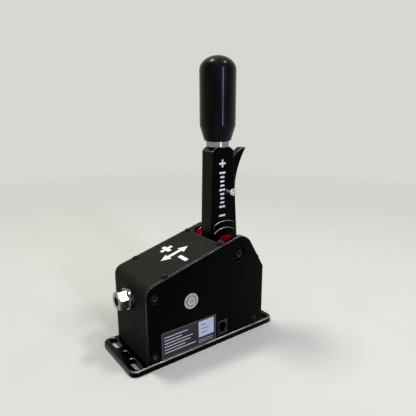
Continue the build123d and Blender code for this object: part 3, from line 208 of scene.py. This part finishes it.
def powderCoatedSheet(name, look):
    # bent steel sheet, powder coated dark grey: dull, with a very fine orange peel, and edges paler in spots
    # as nicks and all along as a painted highlight
    material, tree, place = startMaterial(name)
    rounded = addNode(tree, "Bevel", {"Radius": look["edgeMm"] * mm}, samples=bevelSamples)
    chips = patches(tree, place, look["chipsMm"], detail=5.0, roughness=0.7)
    chips = addNode(tree, "MapRange", (chips, *look["chips"]))
    # pale edge tone: nicks in spots and a painted highlight along every edge
    wearAndGlint = addNode(tree, "Math", (edgeShare(tree, rounded), chips), operation="MULTIPLY")
    cloud = patches(tree, place, look["cloudMm"])
    colour = addNode(tree, "Mix", {0: cloud, 6: srgb(look["colour"]), 7: srgb(look["high"])}, **asColour)
    colour = addNode(tree, "Mix", {0: wearAndGlint, 6: colour, 7: srgb(look["wearAndGlint"])}, **asColour)
    rough = patches(tree, place, look["roughMm"], detail=4.0)
    rough = addNode(tree, "MapRange", (rough, *noiseSpan, *look["rough"]))
    peel = patches(tree, place, look["peelMm"], detail=3.0, roughness=0.6)
    normal = addNode(tree, "Bump", {"Height": peel, "Distance": look["peelDepthMm"] * mm, "Normal": rounded})
    return finishMaterial(material, tree, {"Base Color": colour, "Metallic": 0.0, "Roughness": rough,
                                           "IOR": look["ior"], "Specular IOR Level": look["specular"],
                                           "Normal": normal})


knobLook = {"colour": "#08080b", "smear": "#0e0e12", "rough": (0.32, 0.42), "coat": (0.09, 0.18),
            "coatRough": 0.05, "smearMm": 13.0, "smearStretch": (1, 1, 0.2), "smears": (0.4, 0.62, 0.0, 1.0),
            "turnedMm": 0.9, "turnedStretch": (0.02, 0.02, 1), "turnedDepthMm": 0.0006, "edgeMm": 0.5}


def polishedKnob(name, look):
    # turned aluminium, polished and anodised gloss black: dark metal under a clear face with sharp glints,
    # dulled in patches by hands
    material, tree, place = startMaterial(name)
    rounded = addNode(tree, "Bevel", {"Radius": look["edgeMm"] * mm}, samples=bevelSamples)
    smears = patches(tree, place, look["smearMm"], detail=4.0, roughness=0.55,
                     stretch=look["smearStretch"])
    smears = addNode(tree, "MapRange", (smears, *look["smears"]))
    rough = addNode(tree, "MapRange", (smears, 0.0, 1.0, *look["rough"]))
    coat = addNode(tree, "MapRange", (smears, 0.0, 1.0, *look["coat"]))
    colour = addNode(tree, "Mix", {0: smears, 6: srgb(look["colour"]), 7: srgb(look["smear"])}, **asColour)
    turned = patches(tree, place, look["turnedMm"], detail=2.0, roughness=0.5,
                     stretch=look["turnedStretch"])
    normal = addNode(tree, "Bump", {"Height": turned, "Distance": look["turnedDepthMm"] * mm,
                                    "Normal": rounded})
    return finishMaterial(material, tree, {"Base Color": colour, "Metallic": 1.0, "Roughness": rough,
                                           "Normal": normal, "Coat Weight": coat,
                                           "Coat Roughness": look["coatRough"], "Coat Normal": normal})


redLook = {"colour": "#c80c22", "deep": "#8c0614", "cloudMm": 6.0, "metallic": 0.55, "rough": (0.19, 0.31),
           "rim": "#ee7a80", "rimShare": 0.7, "edgeMm": 0.7, "pitchMm": 0.7, "depthMm": 0.02}


def redAnodised(name, look):
    # turned aluminium dyed red: bright metal under clear red, with fine rings along its length and a pale
    # painted highlight along its rims
    material, tree, place = startMaterial(name)
    rounded = addNode(tree, "Bevel", {"Radius": look["edgeMm"] * mm}, samples=bevelSamples)
    # painted highlight: pale pink mixed in along the rims
    rim = addNode(tree, "Math", (edgeShare(tree, rounded), look["rimShare"]), operation="MULTIPLY")
    cloud = patches(tree, place, look["cloudMm"])
    colour = addNode(tree, "Mix", {0: cloud, 6: srgb(look["deep"]), 7: srgb(look["colour"])}, **asColour)
    colour = addNode(tree, "Mix", {0: rim, 6: colour, 7: srgb(look["rim"])}, **asColour)
    rough = addNode(tree, "MapRange", (cloud, *noiseSpan, *look["rough"]))
    rings = ridges(tree, place, "Y", look["pitchMm"])
    normal = addNode(tree, "Bump", {"Height": rings, "Distance": look["depthMm"] * mm, "Normal": rounded})
    return finishMaterial(material, tree, {"Base Color": colour, "Metallic": look["metallic"],
                                           "Roughness": rough, "Normal": normal})


def centreMm(node):
    low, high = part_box(node)
    return tuple((low + high) / 2 / mm)


turnedLook = {"wobble": 0.4, "grimeMm": 4.0, "scuffMm": 1.2}
capLook = dict(turnedLook, axis={"centre": centreMm("housing_pins"), "about": "Y"}, pitchMm=0.45,
               depthMm=0.006, edgeMm=0.25, colour="#c2c1bd", dark="#5c5b55", grime=(0.5, 0.72, 0.0, 0.6),
               rough=(0.16, 0.32), bandMm=3.4, bandWobble=0.3, bands=(0.35, 0.75, 0.0, 0.6))
collarLook = dict(turnedLook, axis="Z", pitchMm=0.4, depthMm=0.006, edgeMm=0.25, colour="#98948b",
                  dark="#5a574f", grime=(0.5, 0.72, 0.0, 0.7), rough=(0.1, 0.26))
hexLook = dict(turnedLook, axis={"centre": centreMm("adjuster"), "about": "X"}, pitchMm=0.5, depthMm=0.006,
               edgeMm=0.35, colour="#8c8a82", dark="#4e4c45", grime=(0.5, 0.72, 0.0, 0.5), rough=(0.14, 0.3))
pinLook = dict(turnedLook, axis={"centre": centreMm("pivot_axle"), "about": "Y"}, pitchMm=0.4, depthMm=0.004,
               edgeMm=0.2, colour="#cfcfcd", dark="#7d7d78", grime=(0.5, 0.72, 0.0, 0.3), rough=(0.14, 0.3))
millLook = dict(turnedLook, axis="X", pitchMm=0.8, depthMm=0.01, edgeMm=0.3, colour="#b9babc",
                dark="#85868a", grime=(0.5, 0.72, 0.0, 0.3), rough=(0.28, 0.44))
wireLook = dict(turnedLook, axis="X", pitchMm=0.6, depthMm=0.002, edgeMm=0.1, colour="#9ea0a5",
                dark="#5c5d60", grime=(0.5, 0.72, 0.0, 0.5), rough=(0.2, 0.36))
nickelLook = dict(turnedLook, axis="Z", pitchMm=0.7, depthMm=0.002, edgeMm=0.2, colour="#b8b6b0",
                  dark="#807d74", grime=(0.5, 0.72, 0.0, 0.3), rough=(0.14, 0.3))
goldLook = dict(turnedLook, axis="Y", pitchMm=0.5, depthMm=0.002, edgeMm=0.08, colour="#d8a548",
                dark="#8a6320", grime=(0.5, 0.72, 0.0, 0.3), rough=(0.16, 0.32))


def turnedMetal(name, look):
    # bare or plated metal off a machine: bright, with marks left by the tool and a little grime between
    # them, and darker rings where the look names bands
    material, tree, place = startMaterial(name)
    rounded = addNode(tree, "Bevel", {"Radius": look["edgeMm"] * mm}, samples=bevelSamples)
    grime = patches(tree, place, look["grimeMm"], detail=5.0, roughness=0.65)
    grime = addNode(tree, "MapRange", (grime, *look["grime"]))
    colour = addNode(tree, "Mix", {0: grime, 6: srgb(look["colour"]), 7: srgb(look["dark"])}, **asColour)
    if "bands" in look:
        bands = ridges(tree, place, look["axis"], look["bandMm"], look["bandWobble"])
        bands = addNode(tree, "MapRange", (bands, *look["bands"]))
        colour = addNode(tree, "Mix", {0: bands, 6: colour, 7: srgb(look["dark"])}, **asColour)
    scuffs = patches(tree, place, look["scuffMm"], detail=4.0, roughness=0.7)
    rough = addNode(tree, "MapRange", (scuffs, *noiseSpan, *look["rough"]))
    marks = ridges(tree, place, look["axis"], look["pitchMm"], look["wobble"])
    normal = addNode(tree, "Bump", {"Height": marks, "Distance": look["depthMm"] * mm, "Normal": rounded})
    return finishMaterial(material, tree, {"Base Color": colour, "Metallic": 1.0, "Roughness": rough,
                                           "Normal": normal})


screwLook = {"colour": "#161618", "bare": "#b4b4b6", "edgeMm": 0.3, "spotMm": 1.5,
             "spots": (0.35, 0.6, 0.1, 1.0), "rough": (0.24, 0.42), "grainMm": 0.3, "grainDepthMm": 0.006}


def blackOxideScrew(name, look):
    # alloy steel screw, blackened and oiled: dark with an oily glint and bare corners in the socket
    material, tree, place = startMaterial(name)
    rounded = addNode(tree, "Bevel", {"Radius": look["edgeMm"] * mm}, samples=bevelSamples)
    spots = patches(tree, place, look["spotMm"], detail=5.0, roughness=0.65)
    bareSpots = addNode(tree, "MapRange", (spots, *look["spots"]))
    bare = addNode(tree, "Math", (edgeShare(tree, rounded), bareSpots), operation="MULTIPLY")
    colour = addNode(tree, "Mix", {0: bare, 6: srgb(look["colour"]), 7: srgb(look["bare"])}, **asColour)
    rough = addNode(tree, "MapRange", (spots, *noiseSpan, *look["rough"]))
    grain = patches(tree, place, look["grainMm"], detail=2.0)
    normal = addNode(tree, "Bump", {"Height": grain, "Distance": look["grainDepthMm"] * mm,
                                    "Normal": rounded})
    return finishMaterial(material, tree, {"Base Color": colour, "Metallic": 1.0, "Roughness": rough,
                                           "Normal": normal})


# the edge tones below are painted highlights along the edges
nylonLook = {"colour": "#111112", "edge": "#6b6a66", "edgeShare": 0.5, "edgeMm": 0.18, "rough": (0.35, 0.46),
             "cloudMm": 5.0, "textureMm": 0.25, "depthMm": 0.008, "ior": 1.5}
naturalLook = dict(nylonLook, colour="#dcdace", edge="#f0efe8", rough=(0.4, 0.51))
rubberLook = dict(nylonLook, colour="#161616", edge="#242424", rough=(0.65, 0.76), textureMm=0.4,
                  depthMm=0.02)


def mouldedPlastic(name, look):
    # injection moulded nylon or rubber: even colour, fine spark texture, softer edges with a paler painted
    # highlight along them
    material, tree, place = startMaterial(name)
    rounded = addNode(tree, "Bevel", {"Radius": look["edgeMm"] * mm}, samples=bevelSamples)
    edge = addNode(tree, "Math", (edgeShare(tree, rounded), look["edgeShare"]), operation="MULTIPLY")
    colour = addNode(tree, "Mix", {0: edge, 6: srgb(look["colour"]), 7: srgb(look["edge"])}, **asColour)
    rough = patches(tree, place, look["cloudMm"])
    rough = addNode(tree, "MapRange", (rough, *noiseSpan, *look["rough"]))
    texture = patches(tree, place, look["textureMm"], detail=2.0)
    normal = addNode(tree, "Bump", {"Height": texture, "Distance": look["depthMm"] * mm, "Normal": rounded})
    return finishMaterial(material, tree, {"Base Color": colour, "Metallic": 0.0, "Roughness": rough,
                                           "IOR": look["ior"], "Normal": normal})


labelLook = {"colour": "#2b2b2f", "other": "#232327", "rough": (0.37, 0.5), "ior": 1.5, "specular": 0.25,
             "inkMm": 0.5, "waveMm": 9.0, "depthMm": 0.05, "waveShare": 0.6, "edgeMm": 0.1}
tagLook = dict(labelLook, colour="#d3d9e2", other="#c8cfda", rough=(0.45, 0.58), specular=0.5)
ruleLook = dict(tagLook, colour="#e4e4e2", other="#c8c8c6")
borderLook = dict(tagLook, colour="#6c6c6e", other="#5a5a5c")
tagRuleLook = dict(tagLook, colour="#3d4350", other="#4a5060")


def printedFilm(name, look):
    # polyester film with a laminated face: flat colour from ink, faint fibres, slight waviness
    material, tree, place = startMaterial(name)
    rounded = addNode(tree, "Bevel", {"Radius": look["edgeMm"] * mm}, samples=bevelSamples)
    ink = patches(tree, place, look["inkMm"], detail=3.0, roughness=0.7)
    colour = addNode(tree, "Mix", {0: ink, 6: srgb(look["colour"]), 7: srgb(look["other"])}, **asColour)
    wave = patches(tree, place, look["waveMm"], detail=2.0)
    rough = addNode(tree, "MapRange", (wave, *noiseSpan, *look["rough"]))
    normal = addNode(tree, "Bump", {"Height": wave, "Distance": look["depthMm"] * mm,
                                    "Strength": look["waveShare"], "Normal": rounded})
    return finishMaterial(material, tree, {"Base Color": colour, "Metallic": 0.0, "Roughness": rough,
                                           "IOR": look["ior"], "Specular IOR Level": look["specular"],
                                           "Normal": normal})


boardLook = {"lacquer": "#0c3a22", "track": "#14532f", "trackMm": 1.3, "wobble": 3.0, "ior": 1.5,
             "tracks": (0.55, 0.62, 0.0, 1.0), "depthMm": 0.03, "rough": (0.28, 0.4), "roughMm": 6.0}


def solderMask(name, look):
    # glass fibre board under green lacquer: tracks show as slightly raised lines
    material, tree, place = startMaterial(name)
    tracks = ridges(tree, place, "X", look["trackMm"], look["wobble"])
    tracks = addNode(tree, "MapRange", (tracks, *look["tracks"]))
    colour = addNode(tree, "Mix", {0: tracks, 6: srgb(look["lacquer"]), 7: srgb(look["track"])}, **asColour)
    rough = patches(tree, place, look["roughMm"])
    rough = addNode(tree, "MapRange", (rough, *noiseSpan, *look["rough"]))
    normal = addNode(tree, "Bump", {"Height": tracks, "Distance": look["depthMm"] * mm})
    return finishMaterial(material, tree, {"Base Color": colour, "Metallic": 0.0, "Roughness": rough,
                                           "IOR": look["ior"], "Normal": normal})


inkLook = {"colour": "#f2f3ee", "thinColour": "#c4c5c0", "thinMm": 0.7, "thin": (0.55, 0.75, 0.0, 0.5),
           "depthMm": 0.01, "rough": (0.45, 0.6), "roughMm": 2.0, "ior": 1.5}


def screenInk(name, look):
    # white screen printing ink: opaque, slightly rough, a touch of grey at thin spots
    material, tree, place = startMaterial(name)
    thin = patches(tree, place, look["thinMm"], detail=4.0, roughness=0.7)
    thin = addNode(tree, "MapRange", (thin, *look["thin"]))
    colour = addNode(tree, "Mix", {0: thin, 6: srgb(look["colour"]), 7: srgb(look["thinColour"])}, **asColour)
    rough = patches(tree, place, look["roughMm"])
    rough = addNode(tree, "MapRange", (rough, *noiseSpan, *look["rough"]))
    normal = addNode(tree, "Bump", {"Height": thin, "Distance": look["depthMm"] * mm})
    return finishMaterial(material, tree, {"Base Color": colour, "Metallic": 0.0, "Roughness": rough,
                                           "IOR": look["ior"], "Normal": normal})


finishes = {
    "black_anodised_plate": anodisedPlate("anodisedPlateBlack", plateLook),
    "black_anodised_lever": anodisedPlate("anodisedBarBlack", leverLook),
    "dark_coated_sheet": powderCoatedSheet("powderCoatedSheetGrey", sheetLook),
    "black_knob": polishedKnob("polishedAnodisedBlack", knobLook),
    "red_anodised": redAnodised("turnedAluminiumDyedRed", redLook),
    "turned_silver": turnedMetal("turnedAluminiumBright", capLook),
    "stainless_hex": turnedMetal("turnedStainlessHex", hexLook),
    "ground_steel": turnedMetal("groundSteelPins", pinLook),
    "machined_aluminium": turnedMetal("milledAluminium", millLook),
    "spring_steel": turnedMetal("drawnSpringWire", wireLook),
    "magnet": turnedMetal("nickelPlatedMagnet", nickelLook),
    "gold_contact": turnedMetal("goldPlatedWire", goldLook),
    "black_steel_screw": blackOxideScrew("blackOxideSteel", screwLook),
    "small_steel_screw": turnedMetal("zincPlatedSteel", dict(nickelLook, axis="Y")),
    "black_rubber": mouldedPlastic("mouldedRubber", rubberLook),
    "black_plastic": mouldedPlastic("mouldedNylonBlack", nylonLook),
    "white_nylon": mouldedPlastic("mouldedNylonNatural", naturalLook),
    "circuit_board": solderMask("greenSolderMask", boardLook),
    "dark_label": printedFilm("laminatedFilmDark", labelLook),
    "pale_tag": printedFilm("matteFilmPale", tagLook),
}
# the base plate's own finish carries a painted highlight on its chamfers that face along Y
ownFinishes = {"knob_collar": turnedMetal("turnedCollarBright", collarLook),
               "base_plate": anodisedPlate("anodisedPlateBlackGlintEdges", baseLook)}

for entry in frame["record"]["subparts"]:
    piece = nodes[entry["node"]]
    finish = ownFinishes.get(entry["node"], finishes[entry["material_slot"]])
    piece.data.materials.clear()
    piece.data.materials.append(finish)
print("finishes:", len(finishes) + len(ownFinishes))


# springs between the body that holds them and the one that presses them, each copied into a coil mesh of its
# own that takes the part's place

springEnds = {"front_spring": ("housing", "rod"), "rear_spring": ("rod", "housing"),
              "trigger_spring": ("lever", "trigger")}
for spring, (startBody, endBody) in springEnds.items():
    coil = nodes[spring].copy()
    coil.data = nodes[spring].data.copy()
    coil.name = spring + "_coil"
    coil.parent = None
    coil.matrix_world = nodes[spring].matrix_world
    bpy.context.scene.collection.objects.link(coil)
    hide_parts(spring)
    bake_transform(coil)
print("springs:", len(springEnds))


# printed marks, thin plates of ink that stand on the surface; their outlines are in millimetres

inkFinish = screenInk("screenInkWhite", inkLook)
ruleFinish = printedFilm("printedRulesWhite", ruleLook)
borderFinish = printedFilm("printedBorderGrey", borderLook)
tagRuleFinish = printedFilm("printedRulesDark", tagRuleLook)
roundSteps = 8  # of a bar's round end
sunkMm = 0.02  # of a plate's underside in the surface


def placed(points, centre, degrees=0.0):
    turn = math.radians(degrees)
    return [(centre[0] + x * math.cos(turn) - y * math.sin(turn),
             centre[1] + x * math.sin(turn) + y * math.cos(turn)) for x, y in points]


def bar(centre, length, width, degrees=0.0, roundEnds=True):
    half = width / 2
    if not roundEnds:
        corners = [(length / 2, -half), (length / 2, half), (-length / 2, half), (-length / 2, -half)]
        return placed(corners, centre, degrees)
    points = []
    for end in (1, -1):
        for step in range(roundSteps + 1):
            angle = math.pi * (step / roundSteps - 0.5) + (0 if end > 0 else math.pi)
            points.append((end * (length / 2 - half) + half * math.cos(angle), half * math.sin(angle)))
    return placed(points, centre, degrees)


def arrowHead(tip, length, width, degrees):
    return placed([(0, 0), (-length, width / 2), (-length, -width / 2)], tip, degrees)


def plusSign(centre, size, width):
    a, b = width / 2, size / 2
    points = [(a, -b), (a, -a), (b, -a), (b, a), (a, a), (a, b), (-a, b), (-a, a), (-b, a), (-b, -a),
              (-a, -a), (-a, -b)]
    return placed(points, centre)


def inkPlate(name, outlines, origin, along, up, finish, body, thickMm=0.06):
    # outlines on the plane through origin, extruded along its normal
    along, up = Vector(along).normalized(), Vector(up).normalized()
    normal = along.cross(up)
    mesh = bmesh.new()
    for outline in outlines:
        low = [mesh.verts.new(Vector(origin) + (along * x + up * y) * mm - normal * sunkMm * mm)
               for x, y in outline]
        high = [mesh.verts.new(corner.co + normal * thickMm * mm) for corner in low]
        mesh.faces.new(high)
        mesh.faces.new(list(reversed(low)))
        for i in range(len(low)):
            j = (i + 1) % len(low)
            mesh.faces.new((low[i], low[j], high[j], high[i]))
    bmesh.ops.recalc_face_normals(mesh, faces=mesh.faces)
    data = bpy.data.meshes.new(name)
    mesh.to_mesh(data)
    mesh.free()
    data.materials.append(finish)
    piece = bpy.data.objects.new(name, data)
    bpy.context.scene.collection.objects.link(piece)
    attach(piece, body)
    return piece


# shift scale up the label side of the lever, whose bosses stand bossHeight past its flat side; the signs
# take signRoom times their size off the height that the ticks have
scaleSettings = {"centreX": 34.6, "lowZ": 130.0, "highZ": 190.0, "signSize": 8.0, "lineWidth": 2.0,
                 "plusDrop": 3.8, "minusRise": 0.9, "ticks": 8, "tickLength": 5.2, "longTick": 7.6,
                 "longEvery": 4, "signRoom": 3.0, "tickDrop": 1.4, "bossHeight": 1.0}
scaleHeight = scaleSettings["highZ"] - scaleSettings["lowZ"]
signSize, lineWidth = scaleSettings["signSize"], scaleSettings["lineWidth"]
scaleMarks = [plusSign((0, scaleHeight / 2 - scaleSettings["plusDrop"]), signSize, lineWidth),
              bar((0, -scaleHeight / 2 + scaleSettings["minusRise"]), signSize, lineWidth, roundEnds=False)]
tickSpan = scaleHeight - scaleSettings["signRoom"] * signSize
for i in range(scaleSettings["ticks"] + 1):
    tickHeight = tickSpan * (i / scaleSettings["ticks"] - 0.5) - scaleSettings["tickDrop"]
    tickLength = scaleSettings["longTick" if i % scaleSettings["longEvery"] == 0 else "tickLength"]
    scaleMarks.append(bar((0, tickHeight), tickLength, lineWidth, roundEnds=False))
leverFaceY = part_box("lever_arm")[0].y + scaleSettings["bossHeight"] * mm
scaleOrigin = (scaleSettings["centreX"] * mm, leverFaceY, (scaleSettings["lowZ"] + scaleHeight / 2) * mm)
inkPlate("shiftScaleMarks", scaleMarks, scaleOrigin, (1, 0, 0), (0, 0, 1), inkFinish, "lever")

# shift direction sign on the slope, which touches the rounded top of the housing round the pivot
signSettings = {"x": -21.0, "y": -1.0, "slope": 15.3, "arrowLength": 34.0, "arrowWidth": 4.4, "head": 9.5,
                "headWidth": 12.0, "headLap": 1.0, "signSize": 14.0, "signWidth": 4.4, "signSpread": 16.0}
housingTop = {"radius": 19.2, "x": 37.6, "z": 94.3}
slope = math.radians(signSettings["slope"])
slopeAlong = Vector((math.cos(slope), 0, math.sin(slope)))
touch = Vector(((housingTop["x"] - housingTop["radius"] * math.sin(slope)) * mm, signSettings["y"] * mm,
                (housingTop["z"] + housingTop["radius"] * math.cos(slope)) * mm))
signOrigin = touch + slopeAlong * (signSettings["x"] * mm - touch.x) / math.cos(slope)
shaft = signSettings["arrowLength"] - 2 * signSettings["head"] + signSettings["headLap"]
head, headWidth, tip = signSettings["head"], signSettings["headWidth"], signSettings["arrowLength"] / 2
signMarks = [bar((0, 0), shaft, signSettings["arrowWidth"], roundEnds=False),
             arrowHead((tip, 0), head, headWidth, 0), arrowHead((-tip, 0), head, headWidth, 180),
             plusSign((0, signSettings["signSpread"]), signSettings["signSize"], signSettings["signWidth"]),
             bar((0, -signSettings["signSpread"]), signSettings["signSize"], signSettings["signWidth"], 90,
                 roundEnds=False)]
inkPlate("shiftDirectionSign", signMarks, signOrigin, slopeAlong, (0, 1, 0), inkFinish, "housing")


def ruleLines(settings):
    # bars of the given lengths below each other, all from one left edge
    return [bar((settings["left"] + length / 2, settings["top"] - i * settings["step"]), length,
                settings["line"]) for i, length in enumerate(settings["lengths"])]


def faceFront(node):
    # middle of a label's printed face, and its width and height in millimetres
    low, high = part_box(node)
    return ((low.x + high.x) / 2, low.y, (low.z + high.z) / 2), (high.x - low.x) / mm, (high.z - low.z) / mm


# border, empty rules and boxes on the label
labelSettings = {"inset": 0.9, "borderLine": 0.45, "left": -29.5, "top": 8.6, "step": 3.3, "line": 0.9,
                 "lengths": (27, 20, 33, 30, 24, 36), "boxes": 4, "boxLeft": 12.5, "boxZ": -9.6,
                 "boxSize": 3.0, "boxGap": 1.6, "thick": 0.05}
labelOrigin, labelWidth, labelHeight = faceFront("label_plate")
halfW, halfH = labelWidth / 2 - labelSettings["inset"], labelHeight / 2 - labelSettings["inset"]
line = labelSettings["borderLine"]
borderMarks = [bar((0, halfH), 2 * halfW, line), bar((0, -halfH), 2 * halfW, line),
               bar((halfW, 0), 2 * halfH, line, 90), bar((-halfW, 0), 2 * halfH, line, 90)]
inkPlate("labelBorder", borderMarks, labelOrigin, (1, 0, 0), (0, 0, 1), borderFinish, "housing",
         labelSettings["thick"])
ruleMarks = ruleLines(labelSettings)
boxSize = labelSettings["boxSize"]
half = boxSize / 2
for i in range(labelSettings["boxes"]):
    boxX = labelSettings["boxLeft"] + i * (boxSize + labelSettings["boxGap"])
    for dx, dz, turn in ((0, half, 0), (0, -half, 0), (half, 0, 90), (-half, 0, 90)):
        ruleMarks.append(bar((boxX + dx, labelSettings["boxZ"] + dz), boxSize + line, line, turn))
inkPlate("labelRules", ruleMarks, labelOrigin, (1, 0, 0), (0, 0, 1), ruleFinish, "housing",
         labelSettings["thick"])

# rules on the pale tag
tagSettings = {"left": -6.8, "top": 4.2, "step": 4.2, "line": 0.8, "lengths": (7, 10, 8), "thick": 0.05}
tagOrigin = faceFront("label_tag")[0]
inkPlate("tagRules", ruleLines(tagSettings), tagOrigin, (1, 0, 0), (0, 0, 1), tagRuleFinish, "housing",
         tagSettings["thick"])
print("printed marks placed")


# floor and world, which look pale but throw little light back on the dark part

backdrop = "#d7d8d2"
floorLook = {"dark": "#d4d5cf", "pale": "#dadbd6", "cloudMm": 60.0, "bounce": "#6b6866", "speckMm": 1.5,
             "speckDepthMm": 0.05, "fade": (350.0, 1100.0, 0.0, 1.0), "half": 4.0}
worldLook = {"colour": "#e6e8ea", "strength": (0.0, 0.9, 0.1, 0.62)}


def seenShare(tree):
    # 1 for rays from the camera and for mirrored and refracted ones, 0 for the light that falls on things
    path = addNode(tree, "LightPath", take=None).outputs
    mirrored = addNode(tree, "Math", (path["Is Glossy Ray"], path["Is Transmission Ray"]),
                       operation="MAXIMUM")
    return addNode(tree, "Math", (path["Is Camera Ray"], mirrored), operation="MAXIMUM")


floorMaterial, floorTree, floorPlace = startMaterial("matteFloorPale")
floorCloud = patches(floorTree, floorPlace, floorLook["cloudMm"])
floorColour = addNode(floorTree, "Mix", {0: floorCloud, 6: srgb(floorLook["dark"]),
                                         7: srgb(floorLook["pale"])}, **asColour)
floorColour = addNode(floorTree, "Mix", {0: seenShare(floorTree), 6: srgb(floorLook["bounce"]),
                                         7: floorColour}, **asColour)
floorSpeck = addNode(floorTree, "Bump", {"Height": patches(floorTree, floorPlace, floorLook["speckMm"]),
                                         "Distance": floorLook["speckDepthMm"] * mm})
floorLit = addNode(floorTree, "BsdfDiffuse", {"Color": floorColour, "Normal": floorSpeck})
away = addNode(floorTree, "VectorMath", (floorPlace,), take="Value", operation="LENGTH")
fade = addNode(floorTree, "MapRange", (away, *floorLook["fade"]))
farSeen = addNode(floorTree, "Math", (fade, seenShare(floorTree)), operation="MULTIPLY")
floorFar = addNode(floorTree, "Emission", {"Color": srgb(backdrop), "Strength": 1.0})
floorEither = addNode(floorTree, "MixShader", (farSeen, floorLit, floorFar))
addNode(floorTree, "OutputMaterial", {"Surface": floorEither}, take=None)
floorHalf = floorLook["half"]
floorMesh = bpy.data.meshes.new("floor")
floorMesh.from_pydata([(-floorHalf, -floorHalf, 0), (floorHalf, -floorHalf, 0), (floorHalf, floorHalf, 0),
                       (-floorHalf, floorHalf, 0)], [], [(0, 1, 2, 3)])
floorMesh.materials.append(floorMaterial)
floor = bpy.data.objects.new("floor", floorMesh)
bpy.context.scene.collection.objects.link(floor)

world = bpy.data.worlds.new("paleStudio")
bpy.context.scene.world = world
world.use_nodes = True
worldTree = world.node_tree
worldTree.nodes.clear()
direction = addNode(worldTree, "TexCoord", take="Generated")
upward = addNode(worldTree, "SeparateXYZ", (direction,), take="Z")
strength = addNode(worldTree, "MapRange", (upward, *worldLook["strength"]))
lighting = addNode(worldTree, "Background", {"Color": srgb(worldLook["colour"]), "Strength": strength})
shown = addNode(worldTree, "Background", {"Color": srgb(backdrop), "Strength": 1.0})
worldEither = addNode(worldTree, "MixShader", (seenShare(worldTree), lighting, shown))
addNode(worldTree, "OutputWorld", {"Surface": worldEither}, take=None)
print("floor and world ready")


# lamps and camera

aim = Vector((0.0, 0.0, 0.12))
lamps = [
    {"name": "ceilingBox", "place": (-0.2, 0.45, 1.5), "size": (0.3, 0.22), "watts": 10.5,
     "colour": "#fffaf2"},
    {"name": "ceilingBoxFront", "place": (0.5, -0.42, 1.4), "size": (0.26, 0.18), "watts": 7.0,
     "colour": "#fffaf2"},
    {"name": "windowStrip", "place": (-0.1, -1.5, 0.5), "size": (0.13, 0.8), "watts": 13.0,
     "colour": "#d2d9ff"},
]
for lamp in lamps:
    light = bpy.data.lights.new(lamp["name"], "AREA")
    light.shape = "RECTANGLE"
    light.size, light.size_y = lamp["size"]
    light.energy = lamp["watts"]
    light.color = srgb(lamp["colour"])[:3]
    softbox = bpy.data.objects.new(lamp["name"], light)
    softbox.location = lamp["place"]
    softbox.rotation_euler = (aim - Vector(lamp["place"])).to_track_quat("-Z", "Y").to_euler()
    bpy.context.scene.collection.objects.link(softbox)

cameraView = {"place": (-229.97, -342.79, 249.73), "heading": 36.35, "down": 14.574, "roll": -0.106,
              "focalPixels": 415.96, "framePixels": 416, "sensorMm": 36.0}
camera = bpy.data.cameras.new("photoCamera")
camera.sensor_fit = "HORIZONTAL"
camera.sensor_width = cameraView["sensorMm"]
camera.lens = camera.sensor_width * cameraView["focalPixels"] / cameraView["framePixels"]
cameraObject = bpy.data.objects.new("photoCamera", camera)
turn = Matrix.Rotation(-math.radians(cameraView["heading"]), 4, "Z")
tilt = Matrix.Rotation(math.radians(90 - cameraView["down"]), 4, "X")
roll = Matrix.Rotation(math.radians(cameraView["roll"]), 4, "Z")
cameraObject.matrix_world = Matrix.Translation(Vector(cameraView["place"]) * mm) @ turn @ tilt @ roll
bpy.context.scene.collection.objects.link(cameraObject)
bpy.context.scene.camera = cameraObject
bpy.context.scene.view_settings.view_transform = "Standard"
print("camera and lamps placed")
